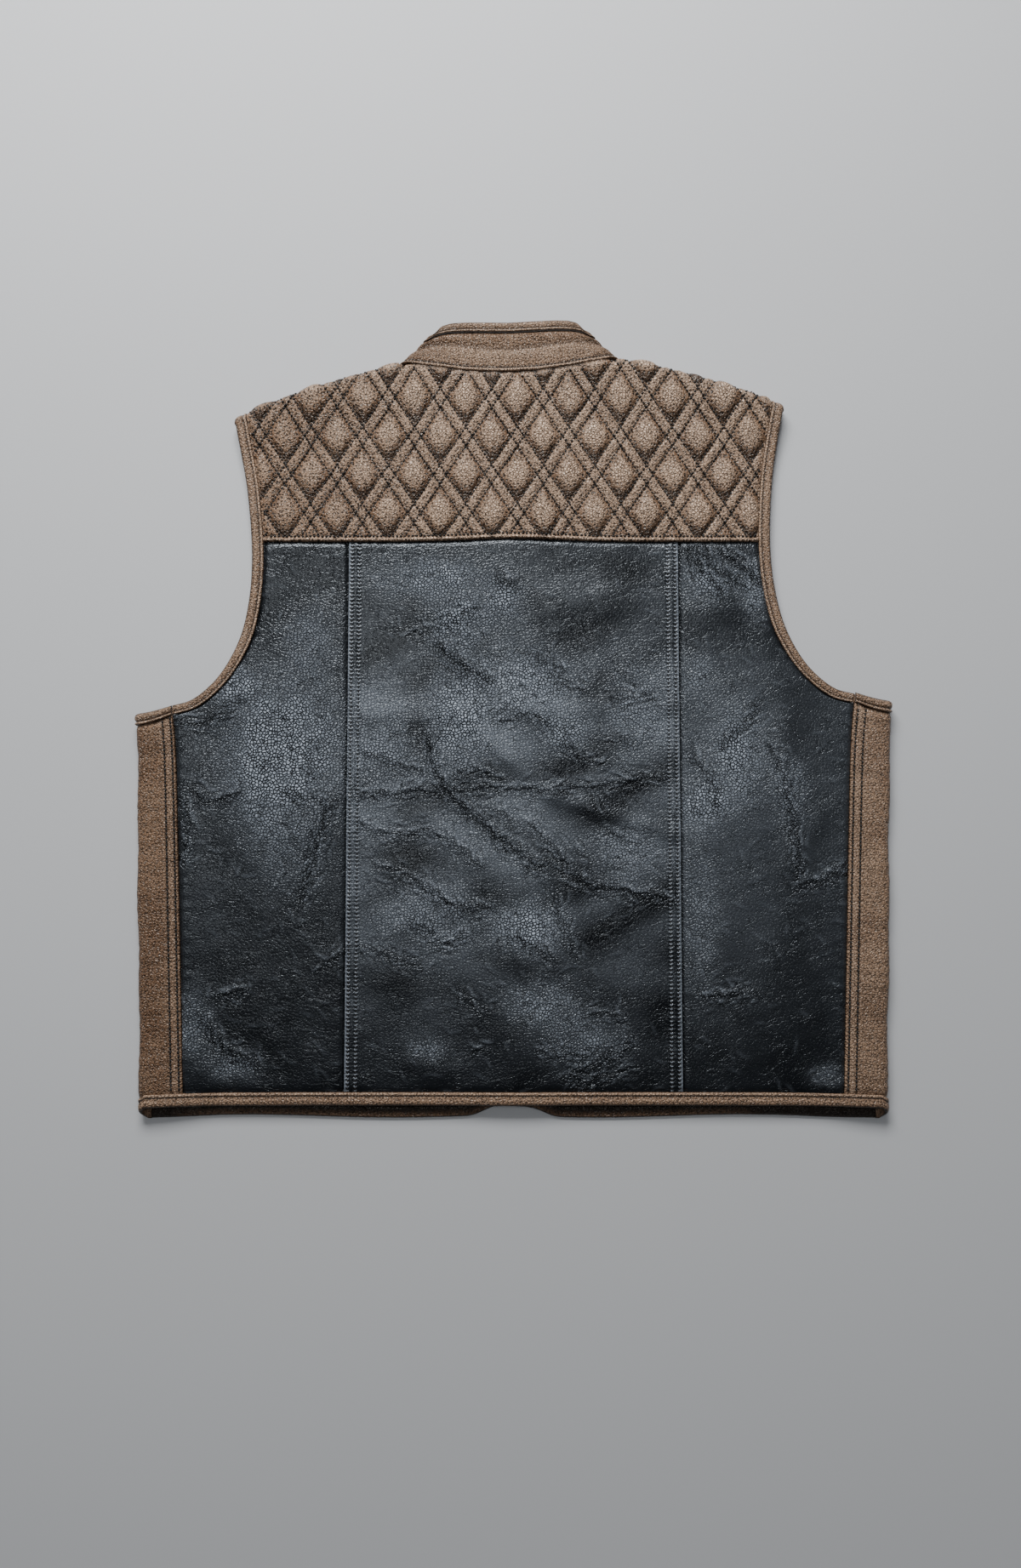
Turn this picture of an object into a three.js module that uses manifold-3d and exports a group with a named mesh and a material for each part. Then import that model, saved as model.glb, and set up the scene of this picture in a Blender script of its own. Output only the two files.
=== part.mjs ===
// Leather vest laid flat on its front: black panels, a quilted brown yoke, brown side strips,
// bound edges and a stand collar. Millimetres; +X right, +Y towards the collar, +Z up from the floor.
// The back lies on top. Each side strip turns under at a side fold, and the yoke at a shoulder fold.
import * as THREE from "three";
import { mergeVertices } from "three/addons/utils/BufferGeometryUtils.js";
import Module from "manifold-3d";

const { clamp, lerp, smoothstep } = THREE.MathUtils;

// Garment sizes
const seamGap = 0.3;
const backWall = 2;
const frontWall = 1.8;
const bindingWidth = 9.5;
const underarmBindingWidth = 7.5;
const bindingWidensFrom = 15;
const bindingWidensTo = 80;
const capHeightInner = 8;
const capHeightFold = 9.5;
const capProud = 1.9;
const bindingWall = 2.4;
const bindingProud = 0.6;
const hemBindingWidth = 10.5;
const hemBindingWrap = 3;
const backHemEdge = -312.5;
const hemCornerDrop = 1.8;
const hemCornerPower = 6;
const frontHemEdge = -321.5;
const frontHemCentreRise = 8;
const frontHemCentreReach = 26;
const panelSeamX = 134.3;
const yokeSeamY = 140.4;
const yokeSeamCrown = 2.5;
const yokeSeamCrownReach = 55;
const yokeLift = 0.8;

// Heights of the laid vest above the floor
const backBase = 7.2;
const placketRidge = 1.2;
const placketRidgeReach = 38;
const sideFoldRadius = 5.3;
const sideRiseReach = 60;
const shoulderFoldRadius = 5.2;
const shoulderRiseReach = 45;
const shoulderSeamTurn = (150 * Math.PI) / 180;
const foldClear = 2;
const collarFoldRadius = 5;

// Half width at the side folds: the straight line of the side, and its taper for each mm down
const sideFoldX = 304.4;
const sideTaper = 0.027;
// Inner edge of a side strip: its line, its taper and the flare under the armhole
const stripEdgeX = 272.3;
const stripTaper = 0.037;
const stripFlare = 2.5;
const stripFlareReach = 20;
const stripTopInner = 3;
const stripTopFold = -5.5;
const stripFlat = 23.6;
const cornerClear = 1;

// Shoulder line, falling from the neck point
const neckPointX = 90;
const neckPointY = 290.2;
const shoulderSlope = 0.196;
const shoulderDroop = 0.00084;

// The vest lies a little askew: its right side is higher, and its top is shifted to the left
const leanSlope = 0.0245;
const leanLowY = -313;
const leanHighY = 252;
const leanPower = 0.6;
const swayX = -3.4;

// Outer edge of the back armhole binding, right half, from the side strip to the shoulder
const armholeSteps = 17;
const armholeEdge = [
  { x: 275, y: 10.7 },
  { x: 261, y: 14.9 },
  { x: 247.3, y: 25.2 },
  { x: 234.5, y: 40.2 },
  { x: 221.3, y: 66.5 },
  { x: 213.6, y: 100 },
  { x: 211.4, y: 136 },
  { x: 214.7, y: 186 },
  { x: 219, y: 214 },
  { x: 225, y: 248 },
];
// The front armhole is cut deeper than the back one
const frontArmholeCut = 9;
const frontArmholeCutY = 125;
const frontArmholeCutReach = 62;
const frontArmholeTop = 236;

// Collar stations on the right half, neck seam and upper edge of the band, the back ones first
const collarBack = [
  { neckX: 0, neckY: 281.8, edgeX: 0, edgeY: 314.6 },
  { neckX: 19, neckY: 282.3, edgeX: 18, edgeY: 315.2 },
  { neckX: 37, neckY: 283.8, edgeX: 36, edgeY: 315.7 },
  { neckX: 54, neckY: 286.2, edgeX: 49, edgeY: 315.4 },
  { neckX: 70, neckY: 288.8, edgeX: 59, edgeY: 313.8 },
  { neckX: 86, neckY: 291.4, edgeX: 67, edgeY: 309.4 },
];
const collarFront = [
  { neckX: 85, neckY: 288.5, edgeX: 65, edgeY: 307 },
  { neckX: 76, neckY: 273, edgeX: 54, edgeY: 298 },
  { neckX: 61, neckY: 257, edgeX: 39, edgeY: 287 },
  { neckX: 41, neckY: 242, edgeX: 25, edgeY: 277 },
  { neckX: 20, neckY: 233, edgeX: 13, edgeY: 270 },
  { neckX: 0.5, neckY: 230, edgeX: 0.5, edgeY: 267 },
];
const collarFoldSteps = 5;
const collarWall = 2.6;
const collarBindingWidth = 8.4;
const collarBindingGap = 0.5;
const neckClearX = 92.4;
const neckCornerClear = 3;

// Diamond quilting: the pads' pitch across, the rows' pitch, and the share of it that a pad fills
const quiltPitchX = 42.2;
const quiltPitchY = 64;
const quiltCentreX = -17.8;
const quiltCentreY = 227.9;
const padShare = 0.75;
const padHeight = 3;
const padRoundness = 2.2;
const channelHeight = 0.7;
const channelFall = 4;
const quiltDivisions = 8;
const quiltFadeFrom = 1;
const quiltFadeTo = 2.2;

// The largest folds of the back, from (x1, y1) to (x2, y2): half width, and height above the panel
const folds = [
  { x1: -120, y1: -2, x2: 130, y2: 6, width: 9, height: 1.3 },
  { x1: -60, y1: 12, x2: 32, y2: -68, width: 8, height: 1.5 },
  { x1: 32, y1: -68, x2: 128, y2: -98, width: 7, height: 1.7 },
  { x1: -55, y1: 110, x2: -22, y2: 82, width: 10, height: 1.2 },
  { x1: -70, y1: -82, x2: -52, y2: -98, width: 8, height: 1 },
  { x1: 12, y1: -122, x2: 48, y2: -142, width: 9, height: 1.1 },
  { x1: -140, y1: 112, x2: -206, y2: 68, width: 20, height: -0.9 },
  { x1: -168, y1: -20, x2: -160, y2: -95, width: 14, height: 1.2 },
  { x1: -235, y1: -10, x2: -215, y2: -190, width: 26, height: -0.8 },
  { x1: 218, y1: -8, x2: 224, y2: -120, width: 10, height: 1.5 },
  { x1: 262, y1: -70, x2: 232, y2: -104, width: 9, height: 1.1 },
  { x1: 208, y1: -155, x2: 160, y2: -236, width: 16, height: -0.9 },
  { x1: 144, y1: 124, x2: 182, y2: 84, width: 11, height: 1.2 },
];

// Front overlap: the left front lies outside, the right front's edge under it, held by press studs
const lapReach = 12;
const lapRaisedReach = 15;
const lapFlatReach = 31;
const studHeadRadius = 6;
const studHeadHeight = 0.9;
const studStemRadius = 1.9;
const studFlangeRadius = 4.5;
const studFlangeHeight = 0.6;
const studBevel = 0.4;
const lapWall = 1.6;
const outerLapBase = studHeadHeight + seamGap;
const underLapBase = outerLapBase + lapWall + seamGap;
const studHoleRadius = studStemRadius + seamGap;
const studLowestY = -290;
const studPitch = 118;
const studCount = 5;

const black = { color: 0x23272d, roughness: 0.42, metalness: 0 };
const brown = { color: 0x86694f, roughness: 0.6, metalness: 0 };
const steel = { color: 0x3a3a3c, roughness: 0.35, metalness: 0.9 };

// Where a point of the unskewed pattern half lies on the floor plan, for side 1 (right) or -1 (left).
function leanAt(y) {
  return leanSlope * Math.pow(clamp((y - leanLowY) / (leanHighY - leanLowY), 0, 1), leanPower);
}

function swayAt(y) {
  return swayX * smoothstep(y, 0, leanHighY);
}

function placed(side, x, y) {
  return new THREE.Vector2(side * x + swayAt(y), y + leanAt(y) * side * x);
}

function sideFoldAt(y) {
  return sideFoldX + sideTaper * y;
}

function stripEdgeAt(y) {
  return stripEdgeX + stripTaper * y + stripFlare * Math.exp((y - stripTopInner) / stripFlareReach);
}

// The y of the shoulder fold at x.
function shoulderAt(x) {
  const across = x - swayX;
  const out = Math.abs(across) - neckPointX;
  return neckPointY - shoulderSlope * out - shoulderDroop * out * Math.abs(out) + leanSlope * across;
}

function yokeSeamAt(x) {
  return yokeSeamY + yokeSeamCrown * Math.exp(-((x / yokeSeamCrownReach) ** 2));
}

function backHemAt(x) {
  return backHemEdge - hemCornerDrop * Math.pow(Math.abs(x) / sideFoldX, hemCornerPower);
}

function frontHemAt(x) {
  const centre = frontHemCentreRise * Math.exp(-((x / frontHemCentreReach) ** 4));
  return frontHemEdge + centre - hemCornerDrop * Math.pow(Math.abs(x) / sideFoldX, hemCornerPower);
}

// How far the head of a side strip lies above the pattern's zero, where reach runs round the fold.
function stripHeadAt(reach) {
  const share = clamp((reach + stripFlat) / (2 * stripFlat + Math.PI * sideFoldRadius), 0, 1);
  return lerp(stripTopInner, stripTopFold, Math.sin(Math.PI * share));
}

// Height that one fold adds at (x, y): a soft ridge or trough along a straight line.
function foldHeight(fold, x, y) {
  const dx = fold.x2 - fold.x1;
  const dy = fold.y2 - fold.y1;
  const along = clamp(((x - fold.x1) * dx + (y - fold.y1) * dy) / (dx * dx + dy * dy), 0, 1);
  const off = Math.hypot(x - fold.x1 - along * dx, y - fold.y1 - along * dy);
  return fold.height * Math.exp(-((off / fold.width) ** 2));
}

// Height of the back layer's outer face above the floor.
function backHeight(x, y) {
  const sideStart = sideFoldAt(y) - sideFoldRadius;
  const shoulderStart = shoulderAt(x) - shoulderFoldRadius;
  const atSide = smoothstep(Math.abs(x), sideStart - sideRiseReach, sideStart);
  const atShoulder = smoothstep(y, shoulderStart - shoulderRiseReach, shoulderStart);
  const ridge = placketRidge * Math.exp(-((x / placketRidgeReach) ** 2));
  const creases = folds.reduce((sum, fold) => sum + foldHeight(fold, x, y), 0);
  const middle = backBase + ridge + creases * (1 - atSide) * (1 - atShoulder);
  const lifted = lerp(middle, 2 * sideFoldRadius, atSide);
  return lerp(lifted, 2 * shoulderFoldRadius, atShoulder);
}

// Depth on a turned surface: what stands proud on top is flush where the vest rests on the floor.
function flushDepth(depth, turn) {
  return depth < 0 ? depth * (1 - smoothstep(turn, quiltFadeFrom, quiltFadeTo)) : depth;
}

// A point of a piece that turns under at the shoulder: v runs up the back, over the fold and down
// the front, and depth goes in from the outer face.
function overShoulder(x, v, depth) {
  const radius = shoulderFoldRadius;
  const start = shoulderAt(x) - radius;
  const past = v - start;
  if (past <= 0) {
    return new THREE.Vector3(x, v, backHeight(x, v) - depth);
  }
  const turn = Math.min(past / radius, Math.PI);
  const inner = radius - flushDepth(depth, turn);
  const rest = Math.max(past - Math.PI * radius, 0);
  return new THREE.Vector3(x, start + inner * Math.sin(turn) - rest, radius + inner * Math.cos(turn));
}

// The v of a point of the front layer at floor plan (x, y).
function frontV(x, y) {
  return 2 * (shoulderAt(x) - shoulderFoldRadius) + Math.PI * shoulderFoldRadius - y;
}

// A point of a piece that turns under at the side: reach runs out over the back, round the fold and
// in under the front, and is 0 where the fold starts.
function overSide(side, y, reach, depth) {
  const radius = sideFoldRadius;
  const start = sideFoldAt(y) - radius;
  if (reach <= 0) {
    const x = side * (start + reach);
    return new THREE.Vector3(x, y, backHeight(x, y) - depth);
  }
  const turn = Math.min(reach / radius, Math.PI);
  const inner = radius - flushDepth(depth, turn);
  const rest = Math.max(reach - Math.PI * radius, 0);
  const x = start + inner * Math.sin(turn) - rest;
  return new THREE.Vector3(side * x, y, radius + inner * Math.cos(turn));
}

// Signed volume of an indexed triangle mesh.
function volumeOf(points, triangles) {
  let sum = 0;
  for (let i = 0; i < triangles.length; i += 3) {
    const [a, b, c] = [0, 1, 2].map((k) => points[triangles[i + k]]);
    sum += a.dot(new THREE.Vector3().crossVectors(b, c)) / 6;
  }
  return sum;
}

// A closed mesh's geometry with its faces pointing out, whichever way its rows were listed.
function closedGeometry(points, triangles) {
  const geometry = new THREE.BufferGeometry();
  geometry.setFromPoints(points);
  geometry.setIndex(volumeOf(points, triangles) < 0 ? triangles.slice().reverse() : triangles);
  geometry.computeVertexNormals();
  return geometry;
}

// A solid from closed rings of points, each ring with as many points, capped at both ends.
function ringSolid(rings) {
  const count = rings[0].length;
  const points = rings.flat();
  const triangles = [];
  for (let row = 0; row + 1 < rings.length; row += 1) {
    for (let k = 0; k < count; k += 1) {
      const a = row * count + k;
      const b = row * count + ((k + 1) % count);
      triangles.push(a, b, a + count, b, b + count, a + count);
    }
  }
  const half = count / 2;
  const last = (rings.length - 1) * count;
  for (let k = 0; k + 1 < half; k += 1) {
    const far = count - 1 - k;
    triangles.push(k, far, k + 1, far, far - 1, k + 1);
    triangles.push(last + k, last + k + 1, last + far, last + far, last + k + 1, last + far - 1);
  }
  return closedGeometry(points, triangles);
}

// A wall whose rows run across it: at(row, column, depth) gives its outer and inner faces' points.
function wallSolid(rowCount, columnCount, wall, at) {
  const rings = [];
  for (let row = 0; row <= rowCount; row += 1) {
    const ring = [];
    for (let column = 0; column <= columnCount; column += 1) {
      ring.push(at(row / rowCount, column / columnCount, 0));
    }
    for (let column = columnCount; column >= 0; column -= 1) {
      ring.push(at(row / rowCount, column / columnCount, wall));
    }
    rings.push(ring);
  }
  return ringSolid(rings);
}

// Section of a binding, from its inner edge to its rounded outer edge and back underneath.
const bindingSection = [
  { across: 0, depth: -0.5 },
  { across: 0.8, depth: -1 },
  { across: 1, depth: 0.35 },
  { across: 1, depth: 0.8 },
  { across: 0.9, depth: 1 },
  { across: 0, depth: 1 },
];

function sectionDepth(point, wall, proud) {
  return point.depth < 0 ? point.depth * proud : point.depth * wall;
}

// Points of a smooth curve through the rows of a table, count of them.
function smoothCurve(rows, count) {
  const curve = new THREE.CatmullRomCurve3(
    rows.map((row) => new THREE.Vector3(row.x, row.y, 0)),
    false,
    "centripetal",
  );
  return curve.getSpacedPoints(count).map((p) => new THREE.Vector2(p.x, p.y));
}

// A curve moved sideways towards the body of the vest.
function insetCurve(points, distanceAt) {
  return points.map((point, i) => {
    const before = points[Math.max(i - 1, 0)];
    const after = points[Math.min(i + 1, points.length - 1)];
    const along = after.clone().sub(before).normalize();
    const distance = distanceAt(point.y);
    return new THREE.Vector2(point.x - along.y * distance, point.y + along.x * distance);
  });
}

// The armhole edge of one layer on the unskewed right half, from the side strip to the shoulder.
function armholeCurve(layer, share, gap) {
  const rows = armholeEdge.map((row) => {
    const cut = frontArmholeCut * Math.exp(-(((row.y - frontArmholeCutY) / frontArmholeCutReach) ** 2));
    return { x: row.x - (layer === "front" ? cut : 0), y: row.y };
  });
  return insetCurve(smoothCurve(rows, armholeSteps), (y) => {
    const widened = smoothstep(y, bindingWidensFrom, bindingWidensTo);
    return gap + share * lerp(underarmBindingWidth, bindingWidth, widened);
  });
}

// The part of a rising curve between two heights, with its ends cut to them.
function between(points, low, high) {
  const kept = points.filter((point) => point.y > low && point.y < high);
  const ends = [low, high].map((y) => {
    const next = Math.max(
      points.findIndex((point) => point.y >= y),
      1,
    );
    const a = points[next - 1];
    const b = points[next];
    return a.clone().lerp(b, (y - a.y) / (b.y - a.y));
  });
  return [ends[0], ...kept, ends[1]];
}

const vest = new THREE.Group();

function addPiece(name, geometry, finish) {
  const mesh = new THREE.Mesh(geometry, new THREE.MeshStandardMaterial(finish));
  mesh.name = name;
  vest.add(mesh);
}

// Black leather of the back: a centre panel and a panel on each side of it.
function backCentre() {
  return wallSolid(20, 14, backWall, (row, column, depth) => {
    const x = lerp(-panelSeamX, panelSeamX, column);
    const foot = backHemAt(x) + hemBindingWidth + seamGap;
    const y = lerp(foot, yokeSeamAt(x) - seamGap, row);
    return new THREE.Vector3(x, y, backHeight(x, y) - depth);
  });
}

function backSide(side) {
  const seamX = panelSeamX + seamGap;
  const head = yokeSeamAt(side * seamX) - seamGap;
  const foot = backHemEdge + hemBindingWidth + seamGap;
  const stripRows = 8;
  const outerEdge = Array.from({ length: stripRows }, (_, k) => {
    const y = lerp(foot, stripTopInner, k / stripRows);
    return placed(side, stripEdgeAt(y) - seamGap, y);
  });
  const corner = placed(side, stripEdgeAt(stripTopInner) - seamGap, stripTopInner);
  const armhole = armholeCurve("back", 1, seamGap).map((p) => placed(side, p.x, p.y));
  const upper = between(armhole, corner.y, head).filter((p) => side * (corner.x - p.x) > cornerClear);
  const outline = [...outerEdge, corner, ...upper];
  const rows = outline.length - 1;
  return wallSolid(rows, 7, backWall, (row, column, depth) => {
    const outer = outline[Math.round(row * rows)];
    const x = lerp(side * seamX, outer.x, column);
    const onHem = backHemAt(x) + hemBindingWidth + seamGap;
    const onYoke = yokeSeamAt(x) - seamGap;
    const levelled = lerp(lerp(foot, head, row), outer.y, column);
    const y = row === 0 ? onHem : row === 1 ? onYoke : levelled;
    return new THREE.Vector3(x, y, backHeight(x, y) - depth);
  });
}

// Brown side strips that turn under at the side folds.
function sideStrip(side) {
  const foldLength = Math.PI * sideFoldRadius;
  const columns = 14;
  const flatColumns = 3;
  return wallSolid(8, columns, backWall, (row, column, depth) => {
    const place = column * columns;
    const fold = clamp((place - flatColumns) / (columns - 2 * flatColumns), 0, 1);
    const flatShare = Math.max(1 - Math.min(place, columns - place) / flatColumns, 0);
    const away = (column < 0.5 ? -1 : 1) * flatShare;
    const edge = sideFoldX - sideFoldRadius - flatShare * stripFlat;
    const foot = lerp(backHemAt(edge), frontHemAt(edge), fold) + hemBindingWidth + seamGap;
    const head = stripHeadAt(fold * foldLength + away * stripFlat) - seamGap;
    const level = lerp(foot, head, row);
    const y = level + leanAt(level) * side * sideFoldX * row;
    const flat = sideFoldAt(y) - sideFoldRadius - stripEdgeAt(level) - seamGap;
    return overSide(side, y, fold * foldLength + away * flat, depth);
  });
}

// Height of the quilting at a point of the yoke: raised diamonds between double rows of stitching.
function quiltHeight(x, v) {
  const acrossCells = (x - quiltCentreX) / quiltPitchX;
  const upCells = (v - quiltCentreY) / quiltPitchY;
  const first = acrossCells + upCells;
  const second = acrossCells - upCells;
  const [offFirst, offSecond] = [first, second].map((cell) => Math.abs(cell - Math.round(cell)));
  const nearest = 2 * Math.max(offFirst, offSecond);
  if (nearest >= padShare) {
    const channelMiddle = (1 + padShare) / 2;
    return channelHeight * (1 - Math.abs(nearest - channelMiddle) * channelFall);
  }
  return padHeight * (1 - Math.pow(nearest / padShare, padRoundness));
}

const wasm = await Module();
wasm.setup();

function manifoldOf(geometry) {
  const bare = geometry.clone();
  bare.deleteAttribute("normal");
  bare.deleteAttribute("uv");
  const merged = mergeVertices(bare, 1e-4);
  const vertProperties = merged.attributes.position.array;
  return new wasm.Manifold(
    new wasm.Mesh({ numProp: 3, vertProperties, triVerts: new Uint32Array(merged.index.array) }),
  );
}

// A manifold's geometry, each of its points moved by a function.
function geometryOf(solid, move) {
  const mesh = solid.getMesh();
  const points = [];
  for (let i = 0; i < mesh.numVert; i += 1) {
    const [x, y, z] = mesh.vertProperties.subarray(i * mesh.numProp, i * mesh.numProp + 3);
    points.push(move(x, y, z));
  }
  return closedGeometry(points, [...mesh.triVerts]);
}

// A prism over an outline, tall enough to cut a wall to it.
function prism(outline, low, high) {
  const geometry = new THREE.ExtrudeGeometry(new THREE.Shape(outline), {
    depth: high - low,
    bevelEnabled: false,
  });
  geometry.translate(0, 0, low);
  return manifoldOf(geometry);
}

// The quilted sheet before it is cut out: quilting on its outer face over a plain inner face, with
// its rows and columns on the lattice. Its z is the height over the yoke's outer face.
function quiltedSheet() {
  const columnStep = quiltPitchX / quiltDivisions;
  const rowStep = quiltPitchY / quiltDivisions;
  const innerStride = 4;
  const columns = 11 * quiltDivisions;
  const firstX = quiltCentreX - 4.75 * quiltPitchX;
  const rows = [];
  for (let v = quiltCentreY - 12 * rowStep; v < quiltCentreY + 10 * rowStep; v += rowStep) {
    rows.push(v);
    if (v > quiltCentreY) {
      rows.push(v + rowStep / 2);
    }
  }
  const points = [];
  const triangles = [];
  const outerAt = (row, column) => row * (columns + 1) + column;
  rows.forEach((v) => {
    for (let column = 0; column <= columns; column += 1) {
      const x = firstX + column * columnStep;
      points.push(new THREE.Vector3(x, v, quiltHeight(x, v)));
    }
  });
  const innerStart = points.length;
  const innerColumns = columns / innerStride;
  const innerAt = (row, column) => innerStart + row * (innerColumns + 1) + column;
  rows.forEach((v) => {
    for (let column = 0; column <= innerColumns; column += 1) {
      points.push(new THREE.Vector3(firstX + column * innerStride * columnStep, v, -backWall));
    }
  });
  for (let row = 0; row + 1 < rows.length; row += 1) {
    for (let column = 0; column < columns; column += 1) {
      const a = outerAt(row, column);
      const b = outerAt(row, column + 1);
      const c = outerAt(row + 1, column + 1);
      const d = outerAt(row + 1, column);
      const falling = points[b].z + points[d].z;
      const rising = points[a].z + points[c].z;
      triangles.push(...(rising >= falling ? [a, b, c, a, c, d] : [a, b, d, b, c, d]));
    }
    for (let column = 0; column < innerColumns; column += 1) {
      const a = innerAt(row, column);
      const b = innerAt(row, column + 1);
      const c = innerAt(row + 1, column + 1);
      const d = innerAt(row + 1, column);
      triangles.push(a, c, b, a, d, c);
    }
    const [leftA, leftB] = [outerAt(row, 0), outerAt(row + 1, 0)];
    const [underA, underB] = [innerAt(row, 0), innerAt(row + 1, 0)];
    triangles.push(leftA, leftB, underA, underA, leftB, underB);
    const [rightA, rightB] = [outerAt(row, columns), outerAt(row + 1, columns)];
    const [belowA, belowB] = [innerAt(row, innerColumns), innerAt(row + 1, innerColumns)];
    triangles.push(rightA, belowA, rightB, belowA, belowB, rightB);
  }
  [0, rows.length - 1].forEach((row) => {
    const flip = row > 0;
    const face = (a, b, c) => triangles.push(...(flip ? [a, c, b] : [a, b, c]));
    for (let column = 0; column < innerColumns; column += 1) {
      const under = innerAt(row, column);
      const next = innerAt(row, column + 1);
      for (let k = 0; k < innerStride; k += 1) {
        const a = outerAt(row, column * innerStride + k);
        face(k < innerStride / 2 ? under : next, a + 1, a);
      }
      face(under, next, outerAt(row, column * innerStride + innerStride / 2));
    }
  });
  return closedGeometry(points, triangles);
}

// The yoke's outline on the pattern, where v runs up the back and over the shoulder folds.
function yokeOutline() {
  const hornEnd = (x) => {
    return shoulderAt(x) - shoulderFoldRadius + shoulderSeamTurn * shoulderFoldRadius;
  };
  const half = (side) => {
    const armhole = armholeCurve("back", 1, seamGap).map((p) => placed(side, p.x, p.y));
    const shoulderX = armhole.at(-1).x;
    const foldY = shoulderAt(shoulderX) - shoulderFoldRadius;
    const edge = between(armhole, yokeSeamAt(side * panelSeamX), foldY - 2 * foldClear);
    const outer = [...edge, new THREE.Vector2(shoulderX, foldY)];
    const hornStart = new THREE.Vector2(shoulderX, hornEnd(shoulderX));
    const neckX = side * neckClearX + swayX;
    const horn = [0.25, 0.5, 0.75, 1].map((share) => {
      const x = lerp(shoulderX, neckX, share);
      return new THREE.Vector2(x, hornEnd(x));
    });
    const neck = collarBack
      .map((row, i) => {
        const clear = i === collarBack.length - 1 ? neckCornerClear : seamGap;
        return placed(side, row.neckX, row.neckY - clear);
      })
      .reverse();
    const neckSide = new THREE.Vector2(neckX, neck[0].y - seamGap);
    return [...outer, hornStart, ...horn, neckSide, ...neck];
  };
  const right = half(1);
  const left = half(-1).reverse();
  const seam = [-130, -90, -60, -30, 0, 30, 60, 90, 130].map((x) => {
    return new THREE.Vector2(x, yokeSeamAt(x));
  });
  return [...seam, ...right, ...left.slice(1)];
}

function yoke() {
  const cut = manifoldOf(quiltedSheet()).intersect(prism(yokeOutline(), -10, 10));
  return geometryOf(cut, (x, v, z) => overShoulder(x, v, -yokeLift - z));
}

// Stations along an armhole: the outer and inner edge of its binding on the pattern.
function armholeStations(side) {
  const stationsOf = (layer, toV) => {
    const outer = armholeCurve(layer, 0, 0);
    const inner = armholeCurve(layer, 1, 0);
    return outer.map((point, i) => {
      return [point, inner[i]].map((p) => {
        const spot = placed(side, p.x, p.y);
        return new THREE.Vector2(spot.x, toV(spot.x, spot.y));
      });
    });
  };
  const flatBack = ([outer, inner]) => {
    const nearest = Math.max(outer.y - shoulderAt(outer.x), inner.y - shoulderAt(inner.x));
    return nearest < -shoulderFoldRadius - foldClear;
  };
  const back = stationsOf("back", (x, y) => y).filter(flatBack);
  const front = stationsOf("front", frontV);
  const frontFlat = front.filter(([outer, inner]) => {
    return [outer, inner].every((p) => {
      return p.y > shoulderAt(p.x) + (Math.PI - 1) * shoulderFoldRadius + foldClear;
    });
  });
  const [tipOuter, tipInner] = [0, 1].map((share) => {
    return armholeCurve("back", share, 0).at(-1).x;
  });
  const turns = [0, 1, 2, 3, 4, 5, 6].map((k) => {
    const past = (Math.PI * shoulderFoldRadius * k) / 6;
    return [tipOuter, tipInner].map((x) => {
      const spot = side * x + swayX;
      return new THREE.Vector2(spot, shoulderAt(spot) - shoulderFoldRadius + past);
    });
  });
  return [...back, ...turns, ...frontFlat.reverse()];
}

function armholeBinding(side) {
  const rings = armholeStations(side).map(([outer, inner]) => {
    return bindingSection.map((point) => {
      const p = inner.clone().lerp(outer, point.across);
      return overShoulder(p.x, p.y, sectionDepth(point, bindingWall, bindingProud));
    });
  });
  return ringSolid(rings);
}

// A short binding over the head of a side strip, between the ends of the armhole binding.
function armholeCap(side) {
  const radius = sideFoldRadius;
  const flat = sideFoldAt(0) - radius - armholeEdge[0].x - 2 * seamGap;
  const reaches = [-flat, -flat / 2, 0];
  for (let k = 1; k <= 6; k += 1) {
    reaches.push((Math.PI * radius * k) / 6);
  }
  reaches.push(Math.PI * radius + flat / 2, Math.PI * radius + flat);
  const rings = reaches.map((reach) => {
    const innerY = stripHeadAt(reach) + seamGap;
    const towardsFold = (stripTopInner - innerY) / (stripTopInner - stripTopFold);
    const capHeight = lerp(capHeightInner, capHeightFold, towardsFold);
    return bindingSection.map((point) => {
      const y = innerY + capHeight * point.across;
      const level = y + leanAt(y) * side * sideFoldX;
      return overSide(side, level, reach, sectionDepth(point, bindingWall, capProud));
    });
  });
  return ringSolid(rings);
}

// The hem binding of the back, which turns under at both side folds.
function backHemBinding() {
  const foldLength = Math.PI * sideFoldRadius;
  const stationsOn = (side) => {
    const list = [];
    for (let k = 0; k <= 6; k += 1) {
      list.push({ side, reach: (foldLength * k) / 6, share: k / 6 });
    }
    list.push({ side, reach: foldLength + hemBindingWrap, share: 1 });
    return list;
  };
  const flats = [];
  for (let k = 1; k < 24; k += 1) {
    flats.push(lerp(-1, 1, k / 24));
  }
  const ringAt = (edgeY, pointAt) => {
    return bindingSection.map((point) => {
      const y = lerp(edgeY + hemBindingWidth, edgeY, point.across);
      return pointAt(y, sectionDepth(point, bindingWall, bindingProud));
    });
  };
  const folded = (side) => {
    return stationsOn(side).map((station) => {
      const edge = lerp(backHemAt(sideFoldX), frontHemAt(sideFoldX), station.share);
      return ringAt(edge, (y, depth) => overSide(side, y, station.reach, depth));
    });
  };
  const flat = flats.map((share) => {
    const x = share * (sideFoldAt(backHemEdge) - sideFoldRadius);
    return ringAt(backHemAt(x), (y, depth) => new THREE.Vector3(x, y, backHeight(x, y) - depth));
  });
  return ringSolid([...folded(-1).reverse(), ...flat, ...folded(1)]);
}

// Height of a front's outer face above the floor: flat, and raised where the fronts overlap.
function frontBase(side, x) {
  if (side < 0) {
    return outerLapBase * smoothstep(x, -lapFlatReach, -lapRaisedReach);
  }
  return underLapBase * (1 - smoothstep(x, lapRaisedReach, lapFlatReach));
}

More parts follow.
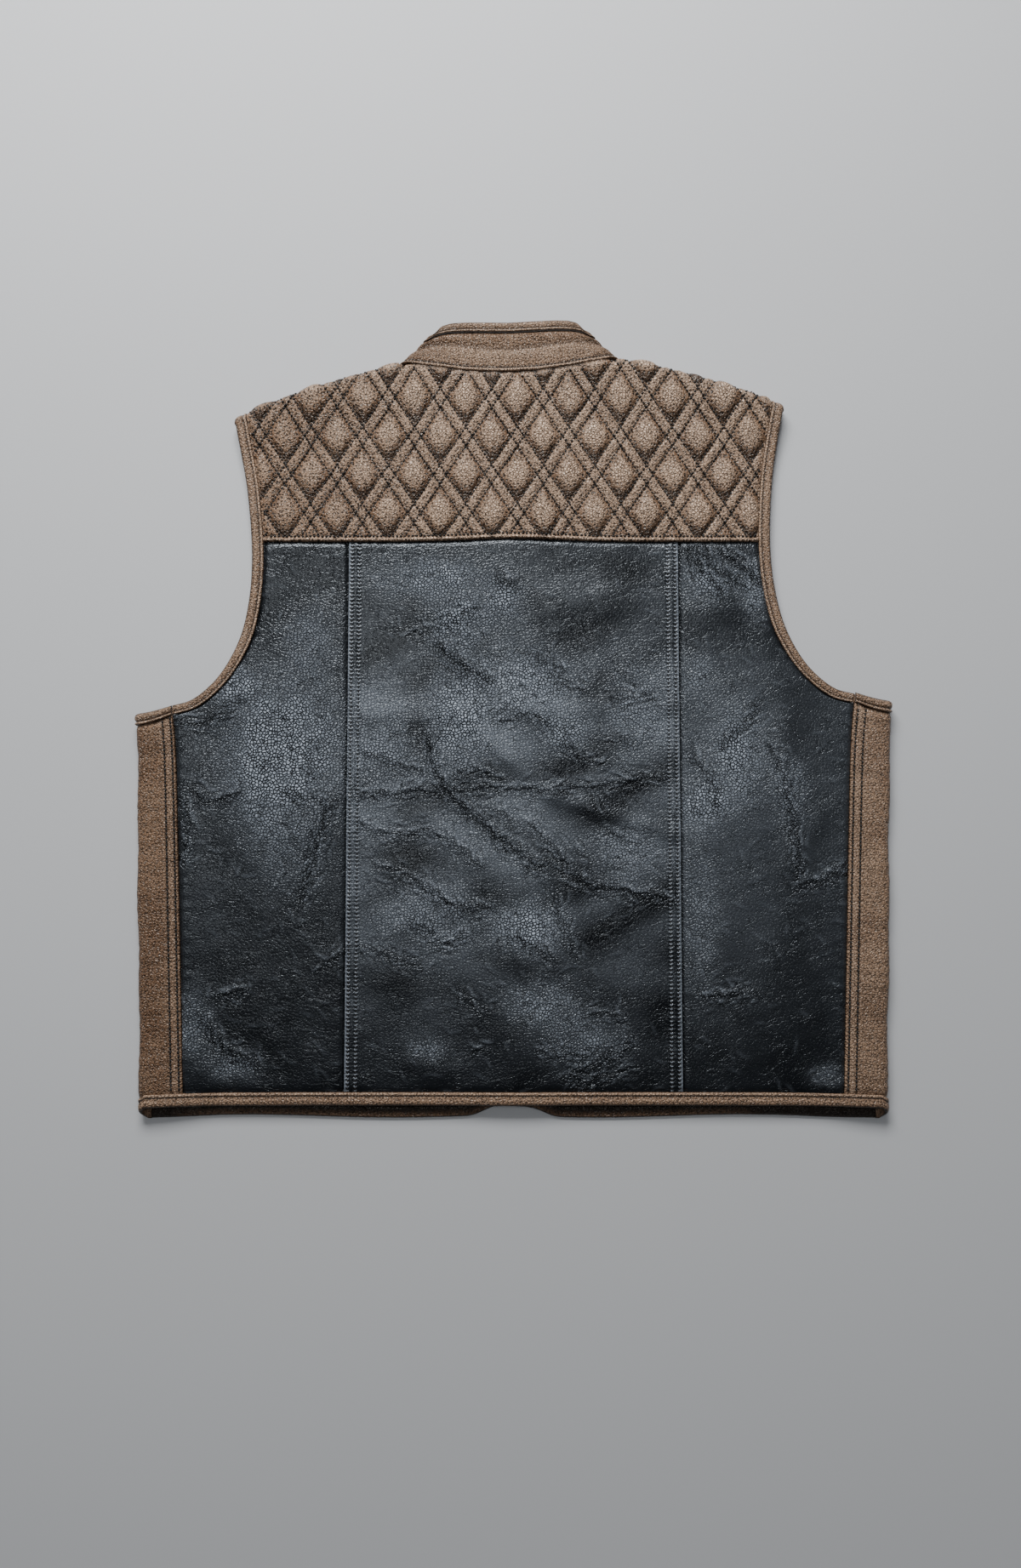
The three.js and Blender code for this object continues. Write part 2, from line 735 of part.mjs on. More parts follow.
// Places across the overlap where a front's profile bends, from the lap's edge outwards.
function lapNodes(side) {
  const bends = [0, 0.2, 0.4, 0.6, 0.8, 1].map((share) => lerp(lapRaisedReach, lapFlatReach, share));
  return [-lapReach, 0, lapReach, ...bends].map((x) => side * x);
}

function frontHemBinding(side) {
  const outerX = sideFoldAt(frontHemEdge) - sideFoldRadius - hemBindingWrap - seamGap;
  const xs = [0.25, 0.5, 0.75, 1].map((share) => side * lerp(lapFlatReach, outerX, share));
  const rings = [...lapNodes(side), ...xs].map((x) => {
    const edge = frontHemAt(x);
    const base = frontBase(side, x);
    const wall = lerp(bindingWall, lapWall, clamp(base, 0, 1));
    return bindingSection.map((point) => {
      const y = lerp(edge + hemBindingWidth, edge, point.across);
      return new THREE.Vector3(x, y, base + Math.max(point.depth, 0) * wall);
    });
  });
  return ringSolid(rings);
}

// The fronts under the back: black leather, plain, overlapping at the centre.
function frontOutline(side) {
  const armhole = armholeCurve("front", 1, seamGap);
  const seam = (x) => shoulderAt(x) - shoulderFoldRadius + 1;
  const lapX = -side * lapReach;
  const hemEnd = stripEdgeAt(frontHemEdge) - seamGap;
  const hemXs = [0.25, 0.5, 0.75, 1].map((share) => side * lerp(lapFlatReach, hemEnd, share));
  const hem = [...lapNodes(side), ...hemXs].map((x) => {
    return new THREE.Vector2(x, frontHemAt(x) + hemBindingWidth + seamGap);
  });
  const strip = [0.25, 0.5, 0.75, 0.92, 1].map((share) => {
    const y = lerp(frontHemEdge, stripTopInner, share);
    return placed(side, stripEdgeAt(y) - seamGap, y);
  });
  const corner = stripEdgeAt(stripTopInner);
  const arm = between(armhole, stripTopInner, frontArmholeTop)
    .filter((p) => p.x < corner - cornerClear)
    .map((p) => placed(side, p.x, p.y));
  const shoulderX = side * (armholeCurve("back", 1, seamGap).at(-1).x - 0.5) + swayX;
  const neckX = side * neckClearX + swayX;
  const shoulder = [0, 0.33, 0.66, 1].map((share) => {
    const x = lerp(shoulderX, neckX, share);
    return new THREE.Vector2(x, seam(x));
  });
  const neck = collarFront.map((row) => placed(side, row.neckX + seamGap, row.neckY - 2 * seamGap));
  const lapTop = new THREE.Vector2(lapX, neck[neck.length - 1].y);
  return [...hem, ...strip, ...arm, ...shoulder, ...neck, lapTop];
}

// A long bar with the fronts' profile across the vest, as tall as the vest is long.
function frontBar(side) {
  const kept = [-side * (lapReach + 4), ...lapNodes(side), side * 320];
  const wallAt = (x) => lerp(frontWall, lapWall, clamp(frontBase(side, x), 0, 1));
  const lower = kept.map((x) => new THREE.Vector3(x, 0, frontBase(side, x)));
  const upper = kept.map((x) => new THREE.Vector3(x, 0, frontBase(side, x) + wallAt(x))).reverse();
  const rings = [-340, 340].map((y) => [...upper, ...lower].map((p) => new THREE.Vector3(p.x, y, p.z)));
  return manifoldOf(ringSolid(rings));
}

function studPlaces() {
  return Array.from({ length: studCount }, (_, k) => new THREE.Vector2(0, studLowestY + k * studPitch));
}

function front(side) {
  let solid = frontBar(side).intersect(prism(frontOutline(side), -2, 12));
  studPlaces().forEach((place) => {
    const hole = new THREE.CylinderGeometry(studHoleRadius, studHoleRadius, 20, 12);
    hole.rotateX(Math.PI / 2);
    hole.translate(place.x, place.y, 0);
    solid = solid.subtract(manifoldOf(hole));
  });
  return geometryOf(solid, (x, y, z) => new THREE.Vector3(x, y, z));
}

// A press stud through both laps: a flat head below, a stem and a flange above.
function pressStud() {
  const stemTop = underLapBase + lapWall + seamGap;
  const profile = [
    [0, 0],
    [studHeadRadius - studBevel, 0],
    [studHeadRadius, studBevel],
    [studHeadRadius - studBevel, studHeadHeight],
    [studStemRadius, studHeadHeight],
    [studStemRadius, stemTop],
    [studFlangeRadius, stemTop],
    [studFlangeRadius - studBevel, stemTop + studFlangeHeight],
    [0, stemTop + studFlangeHeight],
  ];
  const geometry = new THREE.LatheGeometry(
    profile.map(([radius, height]) => new THREE.Vector2(radius, height)),
    10,
  );
  geometry.rotateX(Math.PI / 2);
  return geometry;
}

// Stations round the collar, from the front's centre on the left to the centre on the right.
function collarStations() {
  const half = (side) => {
    const flat = (rows, turn) => {
      return rows.map((row) => ({
        side,
        turn,
        neck: placed(side, row.neckX, row.neckY),
        edge: placed(side, row.edgeX, row.edgeY),
      }));
    };
    const back = flat(collarBack, 0);
    const under = flat(collarFront, Math.PI);
    const lastBack = back[back.length - 1];
    const turned = [];
    for (let k = 1; k < collarFoldSteps; k += 1) {
      const share = k / collarFoldSteps;
      turned.push({
        side,
        turn: Math.PI * share,
        neck: lastBack.neck.clone().lerp(under[0].neck, share),
        edge: lastBack.edge.clone().lerp(under[0].edge, share),
      });
    }
    return [...back, ...turned, ...under];
  };
  return [...half(-1).reverse(), ...half(1).slice(1)];
}

// A point of the collar: share 0 is the neck seam and 1 the band's upper edge.
function collarPoint(station, share, depth) {
  const spot = station.neck.clone().lerp(station.edge, share);
  const inner = collarFoldRadius - flushDepth(depth, station.turn);
  const out = inner * Math.sin(station.turn);
  return new THREE.Vector3(
    spot.x + station.side * out,
    spot.y,
    collarFoldRadius + inner * Math.cos(station.turn),
  );
}

function collar() {
  const shares = [0, 0.5, 1];
  return ringSolid(
    collarStations().map((station) => [
      ...shares.map((share) => collarPoint(station, share, 0)),
      ...shares.toReversed().map((share) => collarPoint(station, share, collarWall)),
    ]),
  );
}

function collarBinding() {
  return ringSolid(
    collarStations().map((station) => {
      const band = station.neck.distanceTo(station.edge);
      return bindingSection.map((point) => {
        const reach = lerp(collarBindingGap, collarBindingWidth, point.across);
        return collarPoint(station, 1 + reach / band, sectionDepth(point, collarWall, bindingProud));
      });
    }),
  );
}

addPiece("back_centre", backCentre(), black);
addPiece("yoke", yoke(), brown);
addPiece("collar", collar(), brown);
addPiece("collar_binding", collarBinding(), brown);
addPiece("hem_binding_back", backHemBinding(), brown);
[
  { side: -1, word: "left" },
  { side: 1, word: "right" },
].forEach(({ side, word }) => {
  addPiece(`back_side_${word}`, backSide(side), black);
  addPiece(`front_${word}`, front(side), black);
  addPiece(`side_strip_${word}`, sideStrip(side), brown);
  addPiece(`armhole_binding_${word}`, armholeBinding(side), brown);
  addPiece(`armhole_cap_${word}`, armholeCap(side), brown);
  addPiece(`hem_binding_front_${word}`, frontHemBinding(side), brown);
});
studPlaces().forEach((place, k) => {
  addPiece(`press_stud_${k + 1}`, pressStud(), steel);
  vest.children.at(-1).position.set(place.x, place.y, 0);
});

// The origin is the middle of the vest's box, at the floor.
const box = new THREE.Box3().setFromObject(vest);
const middle = box.getCenter(new THREE.Vector3());
vest.position.set(-middle.x, -middle.y, -box.min.z);

export default vest;
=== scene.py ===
import math

import bpy
import numpy as np
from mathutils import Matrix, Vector


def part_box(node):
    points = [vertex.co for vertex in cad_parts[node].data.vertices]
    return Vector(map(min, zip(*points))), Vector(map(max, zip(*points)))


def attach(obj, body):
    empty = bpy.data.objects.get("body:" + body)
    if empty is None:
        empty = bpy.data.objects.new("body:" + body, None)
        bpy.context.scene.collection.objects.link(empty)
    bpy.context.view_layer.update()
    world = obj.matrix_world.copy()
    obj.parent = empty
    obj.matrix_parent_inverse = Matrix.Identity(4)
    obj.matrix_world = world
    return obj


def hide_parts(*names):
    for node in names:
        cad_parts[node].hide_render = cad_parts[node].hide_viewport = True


# Leather vest laid flat on its front: black panels, a quilted brown yoke, brown side strips,
# bound edges and a stand collar. Pattern sizes are in millimetres, and the meshes in metres.
# x runs to the right, y towards the collar, and z up from the floor.
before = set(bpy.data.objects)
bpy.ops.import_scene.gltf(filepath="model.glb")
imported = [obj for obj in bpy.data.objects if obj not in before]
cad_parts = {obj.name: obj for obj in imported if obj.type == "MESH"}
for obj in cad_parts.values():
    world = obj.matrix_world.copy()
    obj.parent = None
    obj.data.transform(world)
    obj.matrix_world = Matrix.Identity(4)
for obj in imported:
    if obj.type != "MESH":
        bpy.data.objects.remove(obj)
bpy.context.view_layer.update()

# The camera looks down on the laid vest from above its middle, tilted a little to the collar.
# Its lens and place give the photograph's framing of the whole vest.
camera_data = bpy.data.cameras.new("camera")
camera_data.lens = 27.05
camera = bpy.data.objects.new("camera", camera_data)
camera.location = (-0.00255, -0.12055, 0.95262)
camera.rotation_euler = (math.radians(3.76), 0, 0)
bpy.context.scene.collection.objects.link(camera)
bpy.context.scene.camera = camera


# The floor is a plain, pale, matt surface in place of the photographed boards.
# Its colour varies a little, so that it doesn't look like a flat card.
def shader_node(tree, kind, inputs, **settings):
    """A new shader node. Its inputs are numbers and colours, or outputs to link from."""
    made = tree.nodes.new(kind)
    for name, value in settings.items():
        setattr(made, name, value)
    for name, value in inputs.items():
        if isinstance(value, bpy.types.NodeSocket):
            tree.links.new(value, made.inputs[name])
        else:
            made.inputs[name].default_value = value
    return made


def new_material(name, roughness):
    """A new material, its node tree and its surface shader."""
    made = bpy.data.materials.new(name)
    made.use_nodes = True
    surface = made.node_tree.nodes["Principled BSDF"]
    surface.inputs["Roughness"].default_value = roughness
    return made, made.node_tree, surface


def mixed(tree, share, first, second):
    """A colour between two others."""
    mix = shader_node(tree, "ShaderNodeMix", {}, data_type="RGBA")
    for index, value in ((0, share), (6, first), (7, second)):
        if isinstance(value, bpy.types.NodeSocket):
            tree.links.new(value, mix.inputs[index])
        else:
            mix.inputs[index].default_value = value
    return mix.outputs[2]


floor_material, floor_tree, floor_surface = new_material("pale_floor", 0.7)
floor_noise = shader_node(floor_tree, "ShaderNodeTexNoise", {"Scale": 3.0, "Detail": 3.0})
FLOOR_DARK, FLOOR_PALE = (0.475, 0.483, 0.497, 1), (0.53, 0.54, 0.553, 1)
floor_colour = mixed(floor_tree, floor_noise.outputs["Fac"], FLOOR_DARK, FLOOR_PALE)
floor_tree.links.new(floor_colour, floor_surface.inputs["Base Color"])
bpy.ops.mesh.primitive_plane_add(size=6, location=(0, 0, -0.0001))
floor = bpy.context.object
floor.name = "floor"
floor.data.materials.append(floor_material)


# Soft studio light: a large panel beyond the collar, so that folds are bright on their collar
# side as in the photograph, a small one overhead, a weak one on each side, and a pale sky.
def area_light(name, place, target, width, height, power):
    data = bpy.data.lights.new(name, "AREA")
    data.shape = "RECTANGLE"
    data.size = width
    data.size_y = height
    data.energy = power
    light = bpy.data.objects.new(name, data)
    light.location = place
    light.rotation_euler = (Vector(target) - Vector(place)).to_track_quat("-Z", "Y").to_euler()
    bpy.context.scene.collection.objects.link(light)


area_light("window_light", (-0.3, 1.5, 1.05), (0, -0.05, 0), 1.2, 0.6, 60)
area_light("sheen_light", (-0.25, 0.25, 1.9), (-0.08, 0.0, 0), 0.8, 0.4, 6)
area_light("left_light", (-1.6, -0.2, 1.0), (0, 0, 0), 0.8, 1.2, 1.5)
area_light("right_light", (1.6, -0.3, 1.0), (0, 0, 0), 0.8, 1.2, 1.5)
world = bpy.data.worlds.new("sky")
world.use_nodes = True
world.node_tree.nodes["Background"].inputs["Color"].default_value = (0.86, 0.92, 1.0, 1)
world.node_tree.nodes["Background"].inputs["Strength"].default_value = 0.09
bpy.context.scene.world = world


# Centre back panel: one piece of black cowhide, lapped over the two side panels and sewn down
# with two rows of topstitching on each edge. It is creased across its middle.
MM = 0.001
SEAM_GAP = 0.3
BACK_WALL = 2.0
HEM_WIDTH = 10.5
BACK_HEM_EDGE = -312.5
PANEL_SEAM_X = 134.3
YOKE_SEAM_Y = 140.4
SIDE_FOLD_X = 304.4
SIDE_TAPER = 0.027
SIDE_RADIUS = 5.3
SHOULDER_RADIUS = 5.2
SWAY_X = -3.4
# The right side lies higher than the left one: its rise for each mm across at the shoulders.
LEAN = 0.0245
# The shoulder's line through a point on each side, with its slope there and its curve.
SHOULDER_X, SHOULDER_Y, SHOULDER_SLOPE, SHOULDER_CURVE = 90, 290.2, 0.196, 0.00084
BACK_LEVEL = 7.2
STUD_Y = -290
UNDER_STRIDE = 4

stud_low, stud_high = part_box("press_stud_1")
# The pattern's origin in the row frame, found from the lowest stud, which is at x 0 on the pattern.
ORIGIN = np.array([(stud_low.x + stud_high.x) / 2, (stud_low.y + stud_high.y) / 2 - STUD_Y * MM, 0.0])

# Broad folds: ends, half width and height above the panel, or depth where it is negative.
FOLDS = [
    (-120, -2, 130, 6, 9, 1.3),
    (-60, 12, 32, -68, 8, 1.5),
    (32, -68, 128, -98, 7, 1.7),
    (-55, 110, -22, 82, 10, 1.2),
    (-70, -82, -52, -98, 8, 1.0),
    (12, -122, 48, -142, 9, 1.1),
    (-140, 112, -206, 68, 20, -0.9),
    (-168, -20, -160, -95, 14, 1.2),
    (-235, -10, -215, -190, 26, -1.1),
    (218, -8, 224, -120, 10, 1.5),
    (262, -70, 232, -104, 9, 1.1),
    (208, -155, 160, -236, 16, -0.9),
    (144, 124, 182, 84, 11, 1.2),
]
# Creases as seen: width, strength, height of the lip along the left, and the points of the line.
CREASES = [
    (2.4, 1.0, 0.7, [(-123, -68), (-100, -67), (-77, -64), (-62, -62)]),
    (2.2, 0.7, 0.5, [(-48, -64), (-27, -61), (-6, -62), (15, -63)]),
    (2.6, 1.2, 0.9, [(15, -63), (36, -62), (57, -61), (84, -58), (100, -55), (122, -53)]),
    (3.0, 1.0, 0.9, [(-70, -21), (-66, -39), (-56, -61), (-45, -74)]),
    (4.5, 1.7, 1.3, [(-45, -74), (-29, -87), (-14, -101), (5, -114), (20, -124), (36, -125)]),
    (3.0, 1.3, 1.1, [(36, -125), (49, -134), (65, -141), (83, -143), (109, -148), (125, -151)]),
    (3.4, 1.8, 1.3, [(-61, 53), (-48, 42), (-32, 32), (-20, 25)]),
    (3.2, 1.8, 0.9, [(-12, 109), (-8, 106), (-3, 105)]),
    (2.2, 0.8, 0.5, [(-124, -89), (-111, -97), (-92, -99), (-69, -95), (-53, -103), (-27, -123)]),
    (2.8, 0.9, 0.9, [(15, -92), (31, -110), (47, -129), (57, -137)]),
    (1.8, 0.8, 0.6, [(64, -64), (69, -74), (74, -80)]),
    (1.8, 0.7, 0.5, [(42, -26), (51, -37), (61, -41), (74, -42)]),
    (2.0, 0.6, 0.5, [(75, -94), (89, -103), (100, -108)]),
    (1.8, 0.6, 0.4, [(78, 13), (95, 12), (112, 14)]),
    (2.2, 0.7, 0.5, [(-110, -124), (-89, -129), (-68, -142), (-55, -152), (-41, -158), (-20, -155)]),
    (1.8, 0.6, 0.4, [(-11, -8), (5, -2), (21, -5), (37, -13)]),
    (1.8, 0.6, 0.4, [(-23, -76), (-6, -84), (7, -93)]),
    (1.8, 0.5, 0.4, [(31, 30), (45, 24), (59, 16)]),
    (2.0, 0.6, 0.5, [(-45, -47), (-29, -47), (-10, -53)]),
    (1.8, 0.5, 0.4, [(-67, 67), (-54, 72), (-40, 83), (-27, 86)]),
    (1.8, 0.5, 0.4, [(-99, 70), (-85, 67), (-67, 64)]),
    (1.8, 0.6, 0.4, [(-119, -34), (-106, -37), (-87, -45), (-74, -47)]),
    (1.6, 0.5, 0.4, [(73, -18), (84, -21), (97, -24)]),
    (1.8, 0.5, 0.4, [(15, 48), (29, 38), (42, 35)]),
    (1.8, 0.5, 0.4, [(-16, -8), (-11, 3), (5, 11)]),
    (2.0, 0.7, 0.6, [(-79, -169), (-68, -175), (-59, -185), (-48, -188)]),
    (2.2, 0.9, 0.9, [(3, -180), (16, -188), (32, -197)]),
    (1.8, 0.6, 0.5, [(34, -146), (35, -162), (44, -185), (50, -198)]),
    (1.8, 0.5, 0.5, [(55, -241), (70, -241), (86, -244)]),
    (2.2, 0.8, 0.7, [(41, -292), (65, -281), (83, -270), (94, -263)]),
    (2.2, 0.7, 0.6, [(49, -299), (75, -291), (97, -282)]),
    (2.0, 0.6, 0.9, [(-33, -271), (-27, -270), (-20, -271)]),
    (1.8, 0.6, 0.4, [(-43, -224), (-34, -234), (-25, -240)]),
    (1.6, 0.5, 0.5, [(148, -227), (169, -227), (189, -225)]),
    (2.0, 0.6, 0.5, [(-122, -188), (-102, -195), (-78, -202)]),
    (1.8, 0.5, 0.4, [(-65, -188), (-55, -185), (-39, -180)]),
    (2.0, 0.6, 0.5, [(18, -270), (39, -275), (60, -272)]),
    (2.4, 0.9, 0.6, [(-262, -61), (-249, -70), (-234, -72), (-222, -67)]),
    (5.0, 1.2, 0.9, [(-148, -76), (-157, -104), (-165, -132), (-171, -151)]),
    (3.0, 0.9, 0.6, [(-220, 12), (-233, 2), (-246, -5)]),
    (2.6, 0.8, 0.7, [(-273, -7), (-255, -10), (-233, -4)]),
    (2.0, 0.6, 0.5, [(-192, -61), (-169, -71), (-145, -70)]),
    (3.0, 0.8, 0.6, [(-266, -70), (-259, -96), (-264, -121)]),
    (3.2, 1.0, 1.0, [(-247, -245), (-228, -270), (-204, -282)]),
    (3.0, 0.8, 0.8, [(-235, -228), (-223, -224), (-211, -225)]),
    (2.6, 0.7, 0.5, [(-156, -206), (-145, -200), (-134, -189)]),
    (3.4, 1.8, 1.3, [(143, 131), (155, 111), (171, 95)]),
    (3.0, 1.4, 1.1, [(150, 135), (166, 117), (184, 105)]),
    (2.6, 1.0, 0.8, [(168, 131), (184, 121), (199, 108)]),
    (2.6, 1.0, 1.0, [(218, -61), (224, -90), (227, -115), (231, -131)]),
    (2.8, 0.9, 0.7, [(228, -140), (251, -134), (267, -123)]),
    (2.0, 0.7, 0.6, [(160, -226), (176, -227), (192, -224)]),
    (3.0, 0.8, 0.6, [(197, 4), (185, -12), (169, -27)]),
    (2.6, 0.6, 0.5, [(206, -27), (215, -40), (218, -59)]),
    (2.6, 0.7, 0.5, [(141, -34), (159, -52), (165, -80)]),
]
# Soft hills that turn parts of the panels to the light: middle, half widths and height.
HILLS = [
    (-183, -75, 42, 38, 3.42),
    (-223, -2, 22, 16, 1.62),
    (-254, -278, 22, 18, 2.34),
    (-45, -40, 40, 30, 1.8),
    (10, -10, 40, 26, 1.62),
    (-57, 88, 34, 22, 1.98),
    (62, 92, 46, 16, 2.52),
    (8, -195, 34, 22, 1.62),
    (30, -256, 36, 22, 2.16),
    (-67, -284, 24, 12, 1.44),
    (180, -70, 26, 34, 2.52),
    (151, -104, 16, 24, 1.62),
    (165, 88, 20, 14, 1.8),
    (252, -300, 26, 12, 1.62),
    (212, 20, 30, 22, 1.44),
]
# Where the grain stands out and a painted sheen greys the colour as highlight: middle, half widths and
# strength.
PATCHES = [
    (-183, -28, 42, 46, 1.25),
    (-205, -50, 14, 40, 0.6),
    (-232, 36, 8, 22, 0.7),
    (-223, 24, 16, 12, 0.8),
    (-165, 60, 20, 26, 0.5),
    (-257, -252, 17, 26, 0.5),
    (-222, -283, 18, 10, 0.55),
    (-178, -105, 32, 40, 0.35),
    (-45, -5, 22, 42, 0.9),
    (10, 24, 36, 30, 0.7),
    (-62, 110, 36, 16, 0.8),
    (-45, 74, 22, 20, 0.8),
    (-8, 92, 14, 14, 0.9),
    (42, -18, 16, 16, 0.7),
    (-100, -30, 20, 26, 0.5),
    (-60, -165, 40, 22, 0.45),
    (12, -172, 26, 18, 0.8),
    (25, -233, 32, 18, 0.6),
    (58, -264, 32, 16, 0.5),
    (-67, -268, 16, 9, 0.45),
    (86, -120, 30, 28, 0.35),
    (98, 10, 26, 40, 0.4),
    (180, -36, 18, 32, 0.8),
    (152, -74, 17, 16, 0.9),
    (150, 30, 14, 16, 0.5),
    (158, 106, 20, 16, 0.8),
    (196, 100, 10, 22, 0.6),
    (222, -60, 14, 26, 0.4),
    (150, -170, 14, 60, 0.35),
    (252, -288, 14, 8, 0.4),
]


def smoothstep(value, low, high):
    share = np.clip((value - low) / (high - low), 0, 1)
    return share * share * (3 - 2 * share)


def lerp(first, second, share):
    return first + (second - first) * share


def bell(distance, width):
    return np.exp(-((distance / width) ** 2))


def side_fold_at(y):
    return SIDE_FOLD_X + SIDE_TAPER * y


def shoulder_at(x):
    out = np.abs(x - SWAY_X) - SHOULDER_X
    level = SHOULDER_Y - SHOULDER_SLOPE * out - SHOULDER_CURVE * out * np.abs(out)
    return level + LEAN * (x - SWAY_X)


def yoke_seam_at(x):
    return YOKE_SEAM_Y + 2.5 * bell(x, 55)


def back_hem_at(x):
    return BACK_HEM_EDGE - 1.8 * (np.abs(x) / SIDE_FOLD_X) ** 6


def line_distance(x, y, line):
    """Distance to a line of points, the same with a sign on its left, and the share along it."""
    nearest = np.full(np.shape(x), 1e9)
    signed = np.zeros(np.shape(x))
    share = np.zeros(np.shape(x))
    for k, ((x1, y1), (x2, y2)) in enumerate(zip(line, line[1:])):
        dx, dy = x2 - x1, y2 - y1
        along = np.clip(((x - x1) * dx + (y - y1) * dy) / (dx * dx + dy * dy), 0, 1)
        distance = np.hypot(x - x1 - along * dx, y - y1 - along * dy)
        closer = distance < nearest
        nearest = np.where(closer, distance, nearest)
        left = dx * (y - y1) - dy * (x - x1)
        signed = np.where(closer, np.sign(left) * distance, signed)
        share = np.where(closer, (k + along) / (len(line) - 1), share)
    return nearest, signed, share


def at_folds(x, y):
    """How far a place on the back has risen into a side fold, and into a shoulder fold."""
    side_start = side_fold_at(y) - SIDE_RADIUS
    shoulder_start = shoulder_at(x) - SHOULDER_RADIUS
    beside = smoothstep(np.abs(x), side_start - 60, side_start)
    above = smoothstep(y, shoulder_start - 45, shoulder_start)
    return beside, above


def back_height(x, y):
    """Height of the back's outer face above the floor, with its broad folds."""
    beside, above = at_folds(x, y)
    folds = sum(h * bell(line_distance(x, y, [(x1, y1), (x2, y2)])[0], w) for x1, y1, x2, y2, w, h in FOLDS)
    middle = BACK_LEVEL + 1.2 * bell(x, 38) + folds * (1 - beside) * (1 - above)
    return lerp(lerp(middle, 2 * SIDE_RADIUS, beside), 2 * SHOULDER_RADIUS, above)


def wandered(x, y):
    """A place moved a little to and fro, so that a crease drawn there isn't straight."""
    wander = 1.1 * np.sin(x / 5.1 + y / 4.3) + 0.7 * np.sin(y / 2.3 - x / 3.7)
    return x + wander, y - wander


def crease_height(x, y):
    """Height that hills, waves, creases and wrinkles add to the black panels."""
    beside, above = at_folds(x, y)
    height = sum(h * bell(x - hx, rx) * bell(y - hy, ry) for hx, hy, rx, ry, h in HILLS)
    height = height + 0.22 * np.sin(x / 9 + y / 21 + 0.7) * np.sin(y / 11 - x / 26 + 1.9)
    height = height + 0.12 * np.sin(x / 5.1 - y / 7.3) * np.sin(y / 4.7 + x / 13)
    uneven = 0.85 + 0.35 * np.sin(x / 5.3 + y / 4.1) * np.sin(x / 9.1 - y / 7.7 + 1)
    for full_width, strength, lip, line in CREASES:
        width = 0.50 * full_width + 0.2
        depth = strength * (0.58 - 0.24 * smoothstep(full_width, 2.4, 4.0)) * uneven
        nearest, signed, share = line_distance(*wandered(x, y), line)
        ends = np.sqrt(np.clip(np.sin(np.pi * (0.04 + 0.92 * share)), 0, 1))
        fade = bell(np.maximum(nearest - width, 0), 3 * width)
        raised = 0.75 * lip * bell(signed - 2.0 * width, 1.8 * width)
        height = height + ends * fade * (raised - depth * bell(nearest, width))
    return (height + wrinkle_height(x, y)) * (1 - beside) * (1 - above)


def crease_band(x, y):
    """From 0 to 1: how crumpled the grain is beside a crease, and how much painted shade darkens the
    crease's own line.
    """
    band, line_share = np.zeros(x.shape), np.zeros(x.shape)
    for _, strength, _, line in CREASES:
        nearest = line_distance(*wandered(x, y), line)[0]
        band = np.maximum(band, min(strength, 1) * bell(nearest, 3 + 2 * strength))
        line_share = np.maximum(line_share, min(0.1 + 0.5 * strength, 0.9) * bell(nearest, 0.7))
    return band, line_share


def patch_share(x, y):
    """How much the grain stands out on a black panel, from 0 to 1, and how much painted sheen greys its
    colour.
    """
    ragged = 0.85 + 0.35 * np.sin(x / 4.7 + np.sin(y / 6.0)) * np.sin(y / 5.3 + np.sin(x / 7.0))
    cloudy = np.sin(x / 21 + 1.3 * np.sin(y / 17)) * np.sin(y / 15 + 1.1 * np.sin(x / 27))
    cloudy = cloudy * (np.abs(x) < PANEL_SEAM_X)
    # Painted sheen: the colour greys over the back's middle band, with cloudy breaks, and less on the left
    # side panel and the right one's outer part.
    painted_sheen = 0.16 * smoothstep(y, -330, -70) * (1 - 0.75 * smoothstep(y, 0, 80))
    painted_sheen = painted_sheen * np.clip(0.65 + 0.8 * cloudy, 0, 1.3)
    painted_sheen = painted_sheen * (1 - 0.75 * smoothstep(-x, 128, 140)) * (1 - 0.5 * smoothstep(x, 190, 230))
    return np.clip(1.1 * patch_strength(x, y) * ragged + 0.5 * painted_sheen, 0, 1), painted_sheen


def spaced(length, step):
    """Shares of a length, closer at both ends, in a number of steps that UNDER_STRIDE divides."""
    # How far from each end its points lie, in mm.
    ends = np.array([0, 0.35, 0.8, 1.4, 2.2, 3.2])
    steps = (length - 2 * ends[-1]) / step + 2 * len(ends)
    count = UNDER_STRIDE * math.ceil(steps / UNDER_STRIDE) + 1
    middle = np.linspace(ends[-1], length - ends[-1], count - 2 * (len(ends) - 1))
    return np.concatenate([ends[:-1], middle, length - ends[-2::-1]]) / length


def grid_faces(index):
    corners = [index[:-1, :-1], index[:-1, 1:], index[1:, 1:], index[1:, :-1]]
    return np.stack(corners, -1).reshape(-1, 4)


def add_piece(name, points, quads, other_faces, pattern, finish, marks=None):
    """A closed piece in the row frame. pattern gives each point's place on the leather in mm."""
    corners = points[quads]
    volume = 0.0
    for b, c in ((1, 2), (2, 3)):
        volume += np.einsum("ij,ij->", corners[:, 0], np.cross(corners[:, b], corners[:, c]))
    for face in other_faces:
        fan = points[face]
        volume += np.einsum("ij,ij->", np.tile(fan[0], (len(fan) - 2, 1)), np.cross(fan[1:-1], fan[2:]))
    turn = -1 if volume < 0 else 1
    faces = [list(face[::turn]) for face in quads.tolist() + [list(face) for face in other_faces]]
    mesh = bpy.data.meshes.new(name)
    mesh.from_pydata((points * MM + ORIGIN).tolist(), [], faces)
    mesh.polygons.foreach_set("use_smooth", [True] * len(quads) + [False] * len(other_faces))
    corner_points = np.empty(len(mesh.loops), np.int32)
    mesh.loops.foreach_get("vertex_index", corner_points)
    layer = mesh.uv_layers.new(name="pattern")
    layer.data.foreach_set("uv", (pattern[corner_points] * MM).astype(np.float32).ravel())
    for mark, values in (marks or {}).items():
        attribute = mesh.attributes.new(mark, "FLOAT", "POINT")
        attribute.data.foreach_set("value", values.astype(np.float32))
    mesh.materials.append(finish)
    piece = bpy.data.objects.new(name, mesh)
    bpy.context.scene.collection.objects.link(piece)
    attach(piece, "root")
    return piece


